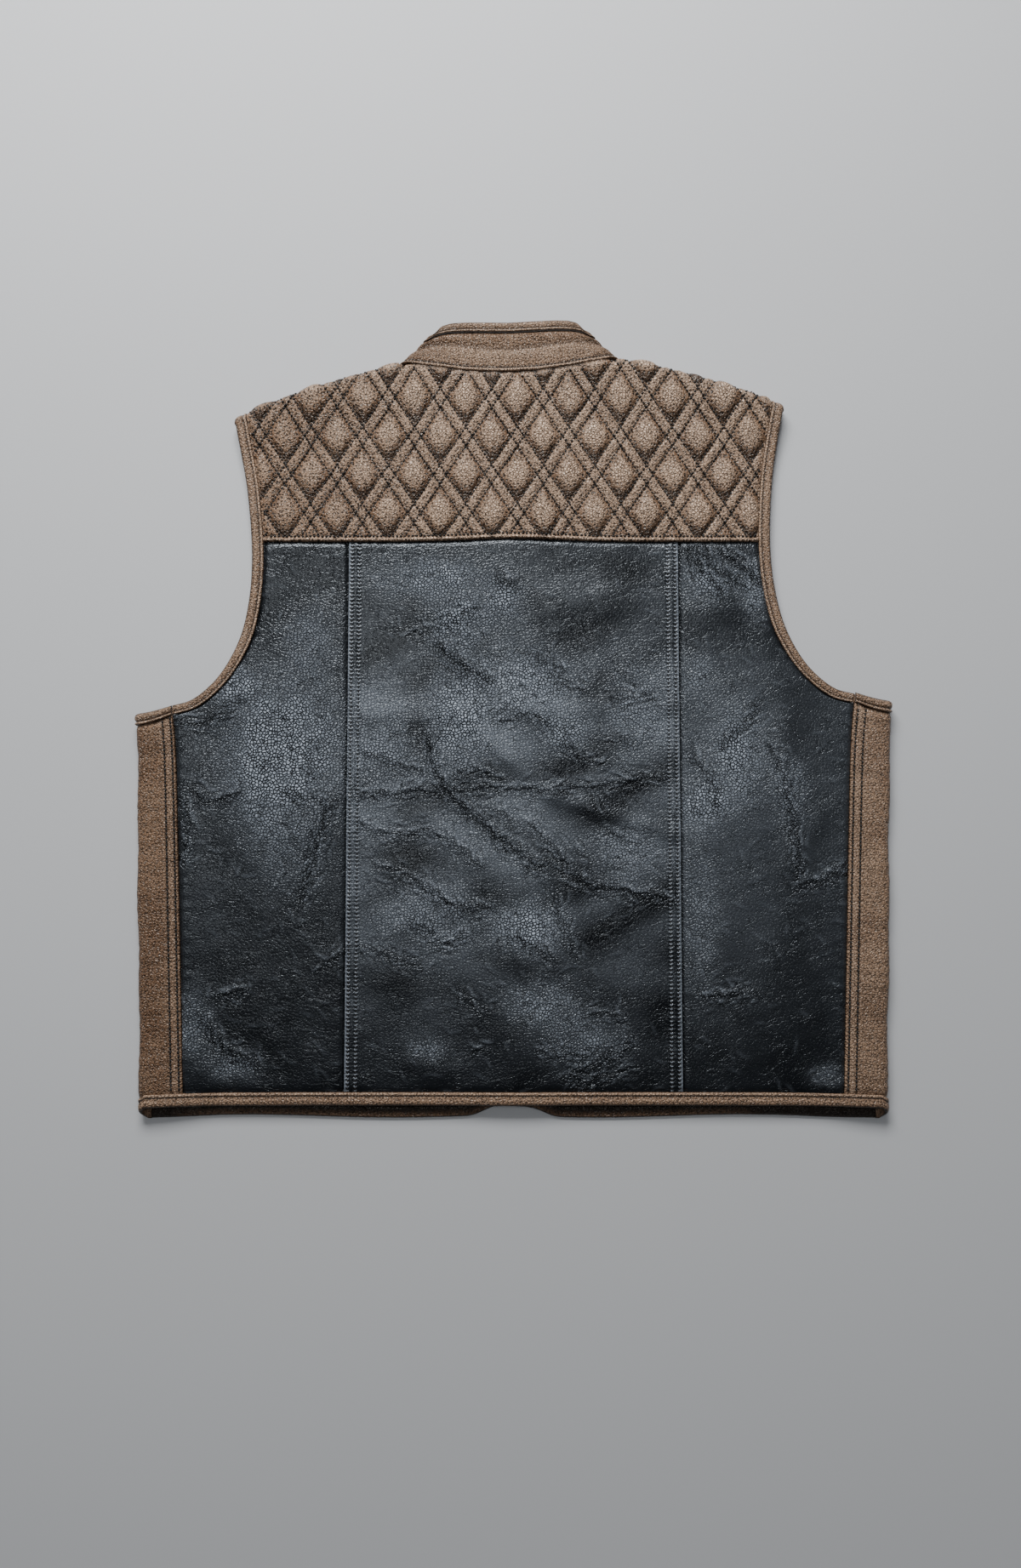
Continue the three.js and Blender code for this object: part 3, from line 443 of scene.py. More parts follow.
def border_of(index):
    return np.concatenate([index[0, :-1], index[:-1, -1], index[-1, :0:-1], index[:0:-1, 0]])


def shell(name, outer, inner, pattern, finish, marks):
    """A wall from two grids of points. The inner one uses one point in UNDER_STRIDE each way."""
    rows, columns = outer.shape[:2]
    under = inner[::UNDER_STRIDE, ::UNDER_STRIDE]
    outer_index = np.arange(rows * columns).reshape(rows, columns)
    under_index = rows * columns + np.arange(under[..., 0].size).reshape(under.shape[:2])
    quads = np.concatenate([grid_faces(outer_index), grid_faces(under_index)[:, ::-1]])
    over_edge = np.append(border_of(outer_index), outer_index[0, 0])
    under_edge = np.append(border_of(under_index), under_index[0, 0])
    rim = []
    for k in range(len(under_edge) - 1):
        fine = over_edge[k * UNDER_STRIDE : (k + 1) * UNDER_STRIDE + 1]
        rim.append([*fine[::-1], under_edge[k], under_edge[k + 1]])

    def both(grid):
        below = grid[::UNDER_STRIDE, ::UNDER_STRIDE].reshape(under_index.size, -1)
        return np.concatenate([grid.reshape(rows * columns, -1), below])

    points = np.concatenate([outer.reshape(-1, 3), under.reshape(-1, 3)])
    all_marks = {mark: both(values).ravel() for mark, values in marks.items()}
    return add_piece(name, points, quads, rim, both(pattern), finish, all_marks)


STITCH_PITCH = 3.2
THREAD_SIDES = 5
# A stitch's stations: share of its length, height over the leather and share of its thickness.
STITCH = np.array([(0, -0.25, 0.6), (0.22, 0.22, 1.0), (0.78, 0.22, 1.0), (1.0, -0.25, 0.6)])


def leather(name, look):
    """Grained leather. look holds its colours, and the sizes of its grain in mm."""
    made, tree, surface = new_material(name, 0.5)

    def node(kind, inputs, output=0, **settings):
        return shader_node(tree, "ShaderNode" + kind, inputs, **settings).outputs[output]

    def calculated(operation, *values):
        return node("Math", dict(enumerate(values)), operation=operation)

    def ranged(value, low, high, to_low=0.0, to_high=1.0):
        limits = {"Value": value, 1: low, 2: high, 3: to_low, 4: to_high}
        return node("MapRange", limits, interpolation_type="SMOOTHSTEP")

    def mark(word):
        return node("Attribute", {}, "Fac", attribute_name=word)

    pattern = node("TexCoord", {}, "UV")
    cloud = {"Vector": pattern, "Scale": look["blotch_scale"], "Detail": 5.0, "Roughness": 0.62}
    blotch = node("TexNoise", cloud)

    def bent_by(scale, detail, reach):
        """The pattern's places, moved to and fro by noise over a reach in mm."""
        noise = node("TexNoise", {"Vector": pattern, "Scale": scale, "Detail": detail}, "Color")
        noise = node("VectorMath", {0: noise, 1: (0.5, 0.5, 0.5)}, operation="SUBTRACT")
        return node("VectorMath", {0: noise, 1: (reach * MM,) * 3, 2: pattern}, operation="MULTIPLY_ADD")

    bent = bent_by(420.0, 2.0, 0.9 * look["grain"])
    cell = {"Vector": bent, "Scale": 1000 / look["grain"], "Randomness": 1.0}
    flat_cells = {"output": "Distance", "voronoi_dimensions": "2D"}
    pebble = ranged(node("TexVoronoi", cell, feature="DISTANCE_TO_EDGE", **flat_cells), 0.0, 0.3)
    pore_cell = {"Vector": bent, "Scale": 1000 / look["pore_pitch"], "Randomness": 0.85}
    pore = ranged(node("TexVoronoi", pore_cell, feature="F1", **flat_cells), 0.14, 0.40, 1.0, 0.0)
    long_way = bent_by(95.0, 3.0, 1.6 * look["crinkle_pitch"])
    long_way = node("VectorMath", {0: long_way, 1: (1.0, 1.7, 1.0)}, operation="MULTIPLY")
    crinkle_cell = {"Vector": long_way, "Scale": 1000 / look["crinkle_pitch"], "Randomness": 1.0}
    crack = node("TexVoronoi", crinkle_cell, "Distance", feature="DISTANCE_TO_EDGE")
    broken = ranged(node("TexNoise", {"Vector": pattern, "Scale": 60.0, "Detail": 2.0}), 0.40, 0.60)
    crack = calculated("MULTIPLY", ranged(crack, 0.0, 0.09, 1.0, 0.0), broken)
    tight, wear_and_sheen, dark, seam = mark("tight"), mark("wear_and_sheen"), mark("dark"), mark("seam")

    along = node("SeparateXYZ", {0: pattern}, 1)
    wave = calculated("COSINE", calculated("MULTIPLY", along, 2000 * math.pi / STITCH_PITCH))
    wave = calculated("MULTIPLY", wave, seam)

    colour = mixed(tree, ranged(blotch, 0.34, 0.68), look["low"], look["high"])
    gap = calculated("MULTIPLY", ranged(pebble, 0.05, 0.8, 1.0, 0.0), tight)
    top = calculated("MULTIPLY_ADD", gap, -0.9, 1.0)
    # Lighter towards the wear colour on pebble tops where marked: partly wear, partly painted sheen and
    # highlight.
    colour = mixed(tree, calculated("MULTIPLY", wear_and_sheen, top), colour, look["wear_and_sheen"])
    clear = calculated("MULTIPLY_ADD", wear_and_sheen, -0.5, 1.0)
    spotted = calculated("MULTIPLY", calculated("MULTIPLY", pore, look["pore_share"]), clear)
    colour = mixed(tree, spotted, colour, look["pore"])
    edge = calculated("MULTIPLY_ADD", tight, 0.7 * look["edge_share"], 0.3 * look["edge_share"])
    edge = calculated("MULTIPLY", edge, ranged(pebble, 0.0, 0.45, 1.0, 0.0))
    colour = mixed(tree, edge, colour, look["pore"])
    colour = mixed(tree, calculated("MULTIPLY", crack, look["crack_share"]), colour, look["pore"])
    # Painted shade: the dark mark darkens creases, grooves, seams and edges towards the pore colour.
    colour = mixed(tree, dark, colour, look["pore"])
    # Painted highlight on the leather's puckers between stitches.
    colour = mixed(tree, ranged(wave, 0.35, 1.0, 0.0, look["pucker_highlight_share"]), colour, look["wear_and_sheen"])
    tree.links.new(colour, surface.inputs["Base Color"])
    rough = ranged(blotch, 0.3, 0.7, look["rough"][0], look["rough"][1])
    tree.links.new(calculated("MULTIPLY_ADD", tight, -0.06, rough), surface.inputs["Roughness"])
    surface.inputs["Specular IOR Level"].default_value = look["gloss"]
    surface.inputs["Specular Tint"].default_value = look["tint"]

    rumple = {"Vector": pattern, "Scale": look["wrinkle_scale"], "Detail": 4.0}
    rumple = node("TexNoise", {**rumple, "Roughness": 0.6, "Distortion": 0.8})
    puffed = calculated("MULTIPLY", rumple, calculated("MULTIPLY_ADD", tight, 0.7, 0.3))
    first = node("Bump", {"Height": puffed, "Distance": look["wrinkle"] * MM, "Strength": 1.0})
    pucker = calculated("MULTIPLY", wave, 0.4)
    broad = calculated("MULTIPLY_ADD", crack, -look["crinkle_depth"], pucker)
    second = node("Bump", {"Height": broad, "Distance": MM, "Strength": 1.0, "Normal": first})
    strength = calculated("MULTIPLY_ADD", tight, look["tight_gain"], look["grain_base"])
    raised = calculated("MULTIPLY", pebble, strength)
    sunk = calculated("MULTIPLY_ADD", spotted, -0.6, raised)
    third = node("Bump", {"Height": sunk, "Distance": look["depth"] * MM, "Strength": 1.0, "Normal": second})
    tree.links.new(third, surface.inputs["Normal"])
    return made


black_leather = leather(
    "black_leather",
    {
        "low": (0.0011, 0.0013, 0.0018, 1),
        "high": (0.0045, 0.0053, 0.0070, 1),
        # The lightening colour here is a grey-blue painted sheen.
        "wear_and_sheen": (0.400, 0.450, 0.520, 1),
        "pore": (0.001, 0.0012, 0.0016, 1),
        "tint": (0.86, 0.93, 1.0, 1),
        "blotch_scale": 21.0,
        "grain": 2.5,
        "pore_pitch": 3.4,
        "pore_share": 0.12,
        "edge_share": 0.9,
        "crinkle_pitch": 8.0,
        "crinkle_depth": 0.2,
        "crack_share": 0.45,
        "pucker_highlight_share": 0.8,
        "rough": (0.24, 0.35),
        "gloss": 0.5,
        "wrinkle": 0.4,
        "wrinkle_scale": 190.0,
        "depth": 0.8,
        "grain_base": 0.10,
        "tight_gain": 1.3,
    },
)

# Fine wrinkles of the black hide: short strokes on a 1 mm raster, close together along the long
# creases and where the grain stands out.
wrinkle_draw = np.random.default_rng(11)
WRINKLE_LEFT, WRINKLE_FOOT = -300, -318
WRINKLE_ROWS, WRINKLE_COLUMNS = 470, 601
wrinkle_raster = np.zeros((WRINKLE_ROWS, WRINKLE_COLUMNS))


def patch_strength(x, y):
    return sum(s * bell(x - px, rx) * bell(y - py, ry) for px, py, rx, ry, s in PATCHES)


def press_wrinkle(x, y, angle, length, depth, width):
    """Press one stroke into the raster, bent a little, with a lip along it."""
    bend = 0.02 * wrinkle_draw.normal()
    column, row = round(x - WRINKLE_LEFT), round(y - WRINKLE_FOOT)
    reach = math.ceil(length / 2 + 6)
    rows = slice(max(row - reach, 0), min(row + reach, WRINKLE_ROWS))
    columns = slice(max(column - reach, 0), min(column + reach, WRINKLE_COLUMNS))
    near_y, near_x = np.mgrid[rows, columns]
    dx, dy = near_x + WRINKLE_LEFT - x, near_y + WRINKLE_FOOT - y
    along = dx * math.cos(angle) + dy * math.sin(angle)
    across = dy * math.cos(angle) - dx * math.sin(angle) + bend * along * along + 0.5 * np.sin(along / 2.1)
    profile = 0.8 * bell(across - 1.8 * width, 1.2 * width) - bell(across, width)
    wrinkle_raster[rows, columns] += depth * bell(along, length / 2.3) * profile


for _, strength, _, line in CREASES:
    for (x1, y1), (x2, y2) in zip(line, line[1:]):
        run = math.hypot(x2 - x1, y2 - y1)
        for _ in range(round(run * (0.30 + 0.34 * strength))):
            share, off, lean, size = wrinkle_draw.uniform(), *wrinkle_draw.normal(0, 1, 3)
            angle = math.atan2(y2 - y1, x2 - x1)
            x = lerp(x1, x2, share) - 6.0 * off * math.sin(angle)
            y = lerp(y1, y2, share) + 6.0 * off * math.cos(angle)
            press_wrinkle(x, y, angle + 0.42 * lean, 7 + 4 * abs(size), 0.34 * bell(off, 2.2), 0.95)
for px, py, rx, ry, strength in PATCHES:
    for _ in range(round(strength * rx * ry / 16)):
        off_x, off_y, size = wrinkle_draw.normal(0, 1, 3)
        angle = wrinkle_draw.uniform(0, math.pi)
        press_wrinkle(px + 0.6 * rx * off_x, py + 0.6 * ry * off_y, angle, 5 + 2 * abs(size), 0.34, 0.95)
for _ in range(640):
    x, y = wrinkle_draw.uniform(-290, 290), wrinkle_draw.uniform(-305, 140)
    angle = wrinkle_draw.normal(-0.25, 0.5)
    press_wrinkle(x, y, angle, 9 + 6 * wrinkle_draw.uniform(), 0.15, 1.15)


def wrinkle_height(x, y):
    """The raster's height between its points."""
    column = np.clip(x - WRINKLE_LEFT, 0, WRINKLE_COLUMNS - 1.01)
    row = np.clip(y - WRINKLE_FOOT, 0, WRINKLE_ROWS - 1.01)
    left, foot = column.astype(int), row.astype(int)
    low = lerp(wrinkle_raster[foot, left], wrinkle_raster[foot, left + 1], column - left)
    high = lerp(wrinkle_raster[foot + 1, left], wrinkle_raster[foot + 1, left + 1], column - left)
    return np.clip(lerp(low, high, row - foot), -1.1, 0.9)


def panel_points(x, y, extra):
    """Outer and inner points of a black back panel, raised by extra, and its marks."""
    height = back_height(x, y) + crease_height(x, y) + extra
    outer = np.stack([x, y, height], -1)
    inner = np.stack([x, y, back_height(x, y) - BACK_WALL], -1)
    band, line = crease_band(x, y)
    patch, painted_sheen = patch_share(x, y)
    stroke = wrinkle_height(x, y)
    # tight is the grain's strength. The lightening mark is painted sheen and highlight: on the patches, over
    # the middle band and on wrinkle lips. The dark mark is painted shade in wrinkle troughs and along crease
    # lines.
    marks = {
        "tight": np.clip(patch + 0.4 * band, 0, 1),
        "wear_and_sheen": np.clip(0.72 * patch**1.4 + painted_sheen + 0.2 * np.clip(stroke / 0.3, 0, 1), 0, 1),
        "dark": np.maximum(0.8 * np.clip(-stroke / 0.35, 0, 1), 0.9 * line),
    }
    return outer, inner, np.stack([x, y], -1), marks


def sunk_edge(distance, depth, reach):
    """A panel's edge that goes down under the piece sewn over it."""
    return -depth * bell(distance, reach)


def turned_edge(distance, radius):
    """A panel's folded edge, rounded down over its radius."""
    share = 1 - np.clip(distance / radius, 0, 1)
    return -radius * (1 - np.sqrt(np.clip(1 - share * share, 0, 1)))


def topstitched(distance, rows):
    """Grooves along the rows of stitching at distances from an edge, and the leather's puff."""
    grooves = sum(-0.5 * bell(distance - row, 0.8) for row in rows)
    return grooves + 0.35 * bell(distance - sum(rows) / len(rows), 2.2)


def thread_material():
    made, tree, surface = new_material("dark_thread", 0.55)
    pattern = shader_node(tree, "ShaderNodeTexCoord", {}).outputs["UV"]
    plies = {"Vector": pattern, "Scale": 900.0, "Distortion": 1.0}
    twist = shader_node(tree, "ShaderNodeTexWave", plies, bands_direction="DIAGONAL").outputs["Fac"]
    colour = mixed(tree, twist, (0.003, 0.0025, 0.0025, 1), (0.012, 0.010, 0.009, 1))
    tree.links.new(colour, surface.inputs["Base Color"])
    bump = shader_node(tree, "ShaderNodeBump", {"Height": twist, "Distance": 0.0001, "Strength": 1.0})
    tree.links.new(bump.outputs[0], surface.inputs["Normal"])
    return made


dark_thread = thread_material()


def unit(vectors):
    return vectors / np.maximum(np.linalg.norm(vectors, axis=-1, keepdims=True), 1e-9)


def run_along(line):
    """How far along a line each of its points is."""
    return np.concatenate([[0], np.cumsum(np.linalg.norm(np.diff(line, axis=0), axis=1))])


def sew(name, surface, rows, length=2.4, radius=0.45, sunk=0.0, margin=None):
    """Stitches along rows of pattern points, where surface(a, b, depth) gives a place.

    The first stitch starts at the margin. Without one, the stitches are centred on the row.
    """
    all_points, all_pattern = [], []
    for row in rows:
        row = np.asarray(row, float)
        run = run_along(row)
        count = int((run[-1] - 0.5) // STITCH_PITCH)
        if count < 1:
            continue
        first = (run[-1] - count * STITCH_PITCH + STITCH_PITCH - length) / 2 if margin is None else margin
        starts = first + STITCH_PITCH * np.arange(count)
        along = starts[:, None] + length * STITCH[:, 0]
        a = np.interp(along, run, row[:, 0])
        b = np.interp(along, run, row[:, 1])
        lift = STITCH[:, 1] - sunk
        centre = surface(a, b, np.broadcast_to(-lift, a.shape))
        normal = unit(surface(a, b, np.full(a.shape, -1.0)) - surface(a, b, np.full(a.shape, 1.0)))
        across = unit(np.cross(unit(np.gradient(centre, axis=1)), normal))
        angle = np.arange(THREAD_SIDES) * 2 * np.pi / THREAD_SIDES
        thick = radius * STITCH[:, 2, None, None]
        round_it = np.cos(angle)[:, None] * across[:, :, None] + np.sin(angle)[:, None] * normal[:, :, None]
        all_points.append((centre[:, :, None] + thick * round_it).reshape(-1, 3))
        along_all = np.broadcast_to(along[:, :, None], (*along.shape, THREAD_SIDES))
        all_pattern.append(np.stack([along_all, np.broadcast_to(angle, along_all.shape)], -1).reshape(-1, 2))
    points = np.concatenate(all_points)
    index = np.arange(len(STITCH) * THREAD_SIDES).reshape(len(STITCH), THREAD_SIDES)
    ring = grid_faces(np.hstack([index, index[:, :1]]))
    stitches = index.size * np.arange(len(points) // index.size)
    quads = (stitches[:, None, None] + ring).reshape(-1, 4)
    caps = [list(start + index[0, ::-1]) for start in stitches]
    caps += [list(start + index[-1]) for start in stitches]
    return add_piece(name, points, quads, caps, np.concatenate(all_pattern), dark_thread)


def straight(x1, y1, x2, y2):
    count = max(int(math.hypot(x2 - x1, y2 - y1)), 2)
    return np.stack([np.linspace(x1, x2, count), np.linspace(y1, y2, count)], -1)


across_shares = spaced(2 * PANEL_SEAM_X, 1.2)
up_shares = spaced(444, 1.2)
grid_x, grid_up = np.meshgrid(lerp(-PANEL_SEAM_X, PANEL_SEAM_X, across_shares), up_shares)
panel_foot = back_hem_at(grid_x) + HEM_WIDTH + SEAM_GAP
panel_head = yoke_seam_at(grid_x) - SEAM_GAP
grid_y = lerp(panel_foot, panel_head, grid_up)
CENTRE_ROWS = (3.0, 9.0)


def centre_relief(x, y):
    from_seam = PANEL_SEAM_X - np.abs(x)
    relief = turned_edge(from_seam, 1.3) + 0.7 * bell(from_seam, 14) + topstitched(from_seam, CENTRE_ROWS)
    head = yoke_seam_at(x) - y
    foot = y - back_hem_at(x) - HEM_WIDTH
    return relief + sunk_edge(head, 1.0, 3) + sunk_edge(foot, 0.8, 3)


outer, inner, pattern, marks = panel_points(grid_x, grid_y, centre_relief(grid_x, grid_y))
from_seam = PANEL_SEAM_X - np.abs(grid_x)
# The seam mark puffs the leather between stitches and paints a highlight on it. The lighter line along the
# turned edge is painted highlight, and the dark mark adds painted shade in the stitch grooves.
marks["seam"] = sum(bell(from_seam - row, 1.4) for row in CENTRE_ROWS)
marks["wear_and_sheen"] = np.maximum(marks["wear_and_sheen"], 0.45 * bell(from_seam - 0.9, 0.8))
marks["dark"] = np.maximum(marks["dark"], 0.5 * sum(bell(from_seam - row, 0.9) for row in CENTRE_ROWS))
back_centre = shell("leather_back_centre", outer, inner, pattern, black_leather, marks)
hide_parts("back_centre")


def on_centre(x, y, depth):
    return np.stack([x, y, back_height(x, y) + crease_height(x, y) + centre_relief(x, y) - depth], -1)


centre_seams = []
for side in (-1, 1):
    for row in CENTRE_ROWS:
        seam_x = side * (PANEL_SEAM_X - row)
        seam_foot = STITCH_PITCH * math.ceil((BACK_HEM_EDGE + HEM_WIDTH + 1) / STITCH_PITCH)
        centre_seams.append(straight(seam_x, seam_foot, seam_x, YOKE_SEAM_Y - 1.5))
centre_thread = sew("thread_back_centre", on_centre, centre_seams, sunk=-0.05, margin=0.4)


# Side back panels: two pieces of the same black cowhide, cut out for the armholes. Their inner
# edges lie under the centre panel, and their outer ones under the side strips and bindings.
SIDES = ((-1, "left"), (1, "right"))
# The lean starts at the hem, and is full at the shoulders.
LEAN_FOOT_Y, LEAN_LENGTH = -313, 565
STRIP_TOP = 3.0
ARMHOLE_EDGE = [
    (275, 10.7),
    (261, 14.9),
    (247.3, 25.2),
    (234.5, 40.2),
    (221.3, 66.5),
    (213.6, 100),
    (211.4, 136),
    (214.7, 186),
    (219, 214),
    (225, 248),
]


def strip_edge_at(y):
    return 272.3 + 0.037 * y + 2.5 * np.exp((y - STRIP_TOP) / 20)


def lean_at(y):
    """How much the vest's right side lies higher than its left one, for each mm across."""
    return LEAN * np.clip((y - LEAN_FOOT_Y) / LEAN_LENGTH, 0, 1) ** 0.6


def joined(*coordinates):
    """Points from an array for each coordinate."""
    return np.stack(np.broadcast_arrays(*coordinates), -1)


def placed(side, x, y):
    """A pattern point of one half where it lies, since the vest lies a little askew."""
    sway = SWAY_X * smoothstep(y, 0, 252)
    return joined(side * x + sway, y + lean_at(y) * side * x)


def smooth_curve(rows, count):
    """Evenly spaced points of a centripetal Catmull-Rom curve through a table's rows."""
    rows = np.array(rows, float)
    line = np.concatenate([[2 * rows[0] - rows[1]], rows, [2 * rows[-1] - rows[-2]]])
    dense = []
    for p0, p1, p2, p3 in zip(line, line[1:], line[2:], line[3:]):
        t1 = math.sqrt(math.dist(p0, p1))
        t2 = t1 + math.sqrt(math.dist(p1, p2))
        t3 = t2 + math.sqrt(math.dist(p2, p3))
        t = np.linspace(t1, t2, 40)[:, None]
        a1, a2 = p0 + (p1 - p0) * t / t1, p1 + (p2 - p1) * (t - t1) / (t2 - t1)
        a3 = p2 + (p3 - p2) * (t - t2) / (t3 - t2)
        b1, b2 = a1 + (a2 - a1) * t / t2, a2 + (a3 - a2) * (t - t1) / (t3 - t1)
        dense.append(b1 + (b2 - b1) * (t - t1) / (t2 - t1))
    return resampled(np.concatenate(dense), np.linspace(0, 1, count))


def resampled(line, shares):
    """Points at shares of a line's length."""
    line = np.asarray(line, float)
    return resampled_by(line, run_along(line), shares)


def resampled_by(rows, run, shares):
    """A table's columns at shares of a run that rises with its rows."""
    at = np.asarray(shares) * run[-1]
    return np.stack([np.interp(at, run, column) for column in rows.T], -1)


def armhole_curve(layer, share, gap=0.0):
    """The armhole's edge on the right half of one layer, from the strip up to the shoulder."""
    cut = 9 if layer == "front" else 0
    outer = smooth_curve([(x - cut * math.exp(-(((y - 125) / 62) ** 2)), y) for x, y in ARMHOLE_EDGE], 160)
    tangent = unit(np.gradient(outer, axis=0))
    inset = gap + share * lerp(7.5, 9.5, smoothstep(outer[:, 1], 15, 80))
    return outer + np.stack([-tangent[:, 1], tangent[:, 0]], -1) * inset[:, None]


def part_between(line, low, high):
    """The part of a rising line between two heights."""
    kept = line[(line[:, 1] > low) & (line[:, 1] < high)]
    ends = [[np.interp(y, line[:, 1], line[:, 0]), y] for y in (low, high)]
    return np.concatenate([[ends[0]], kept, [ends[1]]])


def side_relief(x, y, outer_share, outer_length):
    from_seam = np.abs(x) - PANEL_SEAM_X
    relief = sunk_edge(from_seam, 1.7, 2.2) + sunk_edge((1 - outer_share) * outer_length, 1.4, 1.8)
    relief = relief + sunk_edge(yoke_seam_at(x) - y, 1.0, 3)
    pucker = np.sin(y / 1.7 + 1.5 * np.sin(y / 11)) * bell((1 - outer_share) * outer_length - 3, 5)
    relief = relief + 0.2 * pucker
    return relief + sunk_edge(y - back_hem_at(x) - HEM_WIDTH, 0.8, 3)


for side, word in SIDES:
    seam_x = side * (PANEL_SEAM_X + SEAM_GAP)
    foot = BACK_HEM_EDGE + HEM_WIDTH + SEAM_GAP
    head = YOKE_SEAM_Y - SEAM_GAP
    strip_y = np.linspace(foot, STRIP_TOP, 60)
    strip_line = placed(side, strip_edge_at(strip_y) - SEAM_GAP, strip_y)
    armhole = armhole_curve("back", 1, SEAM_GAP)
    armhole_line = part_between(placed(side, armhole[:, 0], armhole[:, 1]), strip_line[-1, 1] + 0.5, head)
    outline = np.concatenate([strip_line, armhole_line])
    edge_line = resampled(outline, spaced(480, 1.6))
    up = np.linspace(0, 1, len(edge_line))
    out = spaced(137, 1.5)
    grid_x = lerp(seam_x, edge_line[:, :1], out[None, :])
    level = lerp(lerp(foot, head, up)[:, None], edge_line[:, 1:], out[None, :])
    hem_error = back_hem_at(grid_x) + HEM_WIDTH + SEAM_GAP - level
    yoke_error = yoke_seam_at(grid_x) - SEAM_GAP - level
    grid_y = level + hem_error * (1 - up[:, None]) ** 30 + yoke_error * up[:, None] ** 30
    if side < 0:
        grid_x, grid_y = grid_x[:, ::-1], grid_y[:, ::-1]
    share = (np.abs(grid_x) - PANEL_SEAM_X) / (np.abs(edge_line[:, :1]) - PANEL_SEAM_X)
    relief = side_relief(grid_x, grid_y, share, np.abs(edge_line[:, :1]) - PANEL_SEAM_X)
    outer, inner, pattern, marks = panel_points(grid_x, grid_y, relief)
    # Painted shadow of the centre panel's edge, along the seam.
    marks["dark"] = np.maximum(marks["dark"], 0.9 * bell(np.abs(grid_x) - PANEL_SEAM_X, 1.6))
    panel = shell(f"leather_back_side_{word}", outer, inner, pattern, black_leather, marks)
    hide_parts(f"back_side_{word}")


# Yoke: brown cowhide quilted in diamonds over padding, with two rows of stitching between the
# pads. It runs over both shoulders, and its lower edge is folded and lapped over the black.
QUILT_X, QUILT_Y = 42.2, 64.0
CELL_WIDTH = 0.5 / math.hypot(1 / QUILT_X, 1 / QUILT_Y)
QUILT_CENTRE_X, QUILT_CENTRE_Y = -17.8, 227.9
PAD_SHARE = 0.75
YOKE_LIFT = 0.8
COLLAR_BACK = [
    (0, 281.8, 0, 314.6),
    (19, 282.3, 18, 315.2),
    (37, 283.8, 36, 315.7),
    (54, 286.2, 49, 315.4),
    (70, 288.8, 59, 313.8),
    (86, 291.4, 67, 309.4),
]
NECK_HALF, NECK_CLEAR_X = 86.5, 92.4


def flush(depth, turn):
    """Depth under an outer face. Nothing stands proud where the vest rests on the floor."""
    return np.where(depth < 0, depth * (1 - smoothstep(turn, 1.0, 2.2)), depth)


def over_shoulder(x, v, depth):
    """Place of a point that is v up the back, over the shoulder's fold and down the front."""
    start = shoulder_at(x) - SHOULDER_RADIUS
    turn = np.clip((v - start) / SHOULDER_RADIUS, 0, np.pi)
    inner = SHOULDER_RADIUS - flush(depth, turn)
    rest = np.maximum(v - start - np.pi * SHOULDER_RADIUS, 0)
    flat = v <= start
    y = np.where(flat, v, start + inner * np.sin(turn) - rest)
    z = np.where(flat, back_height(x, v) - depth, SHOULDER_RADIUS + inner * np.cos(turn))
    return joined(x, y, z)


def quilt_height(x, v):
    """Height of the quilting, then how near a pad's crest, its lower side and a seam a place is."""
    wobble_x = (x + 0.5 * np.sin(v / 9 + x / 31) - QUILT_CENTRE_X) / QUILT_X
    wobble_v = (v + 0.6 * np.sin(x / 13 + v / 27) - QUILT_CENTRE_Y) / QUILT_Y
    first, second = wobble_x + wobble_v, wobble_x - wobble_v
    first, second = first - np.round(first), second - np.round(second)
    cells = [2 * np.abs(first), 2 * np.abs(second)]
    pad = np.prod([np.clip(1 - (cell / PAD_SHARE) ** 2.2, 0, 1) for cell in cells], axis=0)
    below = smoothstep(second - first, -0.05, 0.55) * (pad > 0)
    size = 0.88 + 0.12 * np.sin(np.round(x / QUILT_X * 2) * 2.3 + np.round(v / QUILT_Y * 2) * 1.7)
    channels = [np.clip(1 - ((1 - cell) / (1 - PAD_SHARE)) ** 2, 0, 1) ** 0.6 for cell in cells]
    seam = np.clip(sum(bell((cell - PAD_SHARE) * CELL_WIDTH, 0.95) for cell in cells), 0, 1)
    crinkle = 0.22 * np.sin(x * 1.05 + 1.4 * np.sin(v / 3)) * np.sin(v * 0.95 + 1.2 * np.sin(x / 2.7))
    channel = np.maximum(*channels)
    height = 3.6 * size * pad**0.85 + 1.1 * channel - 0.7 * seam + crinkle * (0.25 + channel)
    return height, pad, below, seam


def yoke_edge_at(side, v):
    """How far to the right the yoke's edge lies on one side, at heights up to the shoulder's tip."""
    curve = armhole_curve("back", 1, SEAM_GAP)
    line = placed(side, curve[:, 0], curve[:, 1])
    return np.interp(v, line[:, 1], line[:, 0])


def yoke_top_at(x):
    """The yoke's upper edge: the neck seam, and beside it an edge that has turned over."""
    rows = np.array(COLLAR_BACK)
    neck = [placed(s, rows[:, 0], rows[:, 1] - SEAM_GAP) for s in (-1, 1)]
    neck_line = np.concatenate([neck[0][::-1], neck[1][1:]])
    seam = np.interp(x, neck_line[:, 0], neck_line[:, 1])
    horn = shoulder_at(x) - SHOULDER_RADIUS + math.radians(150) * SHOULDER_RADIUS
    away = np.abs(x - SWAY_X)
    turned = lerp(seam - 2.5, horn, smoothstep(away, NECK_HALF + 1, NECK_CLEAR_X))
    return np.where(away < NECK_HALF, seam, turned)


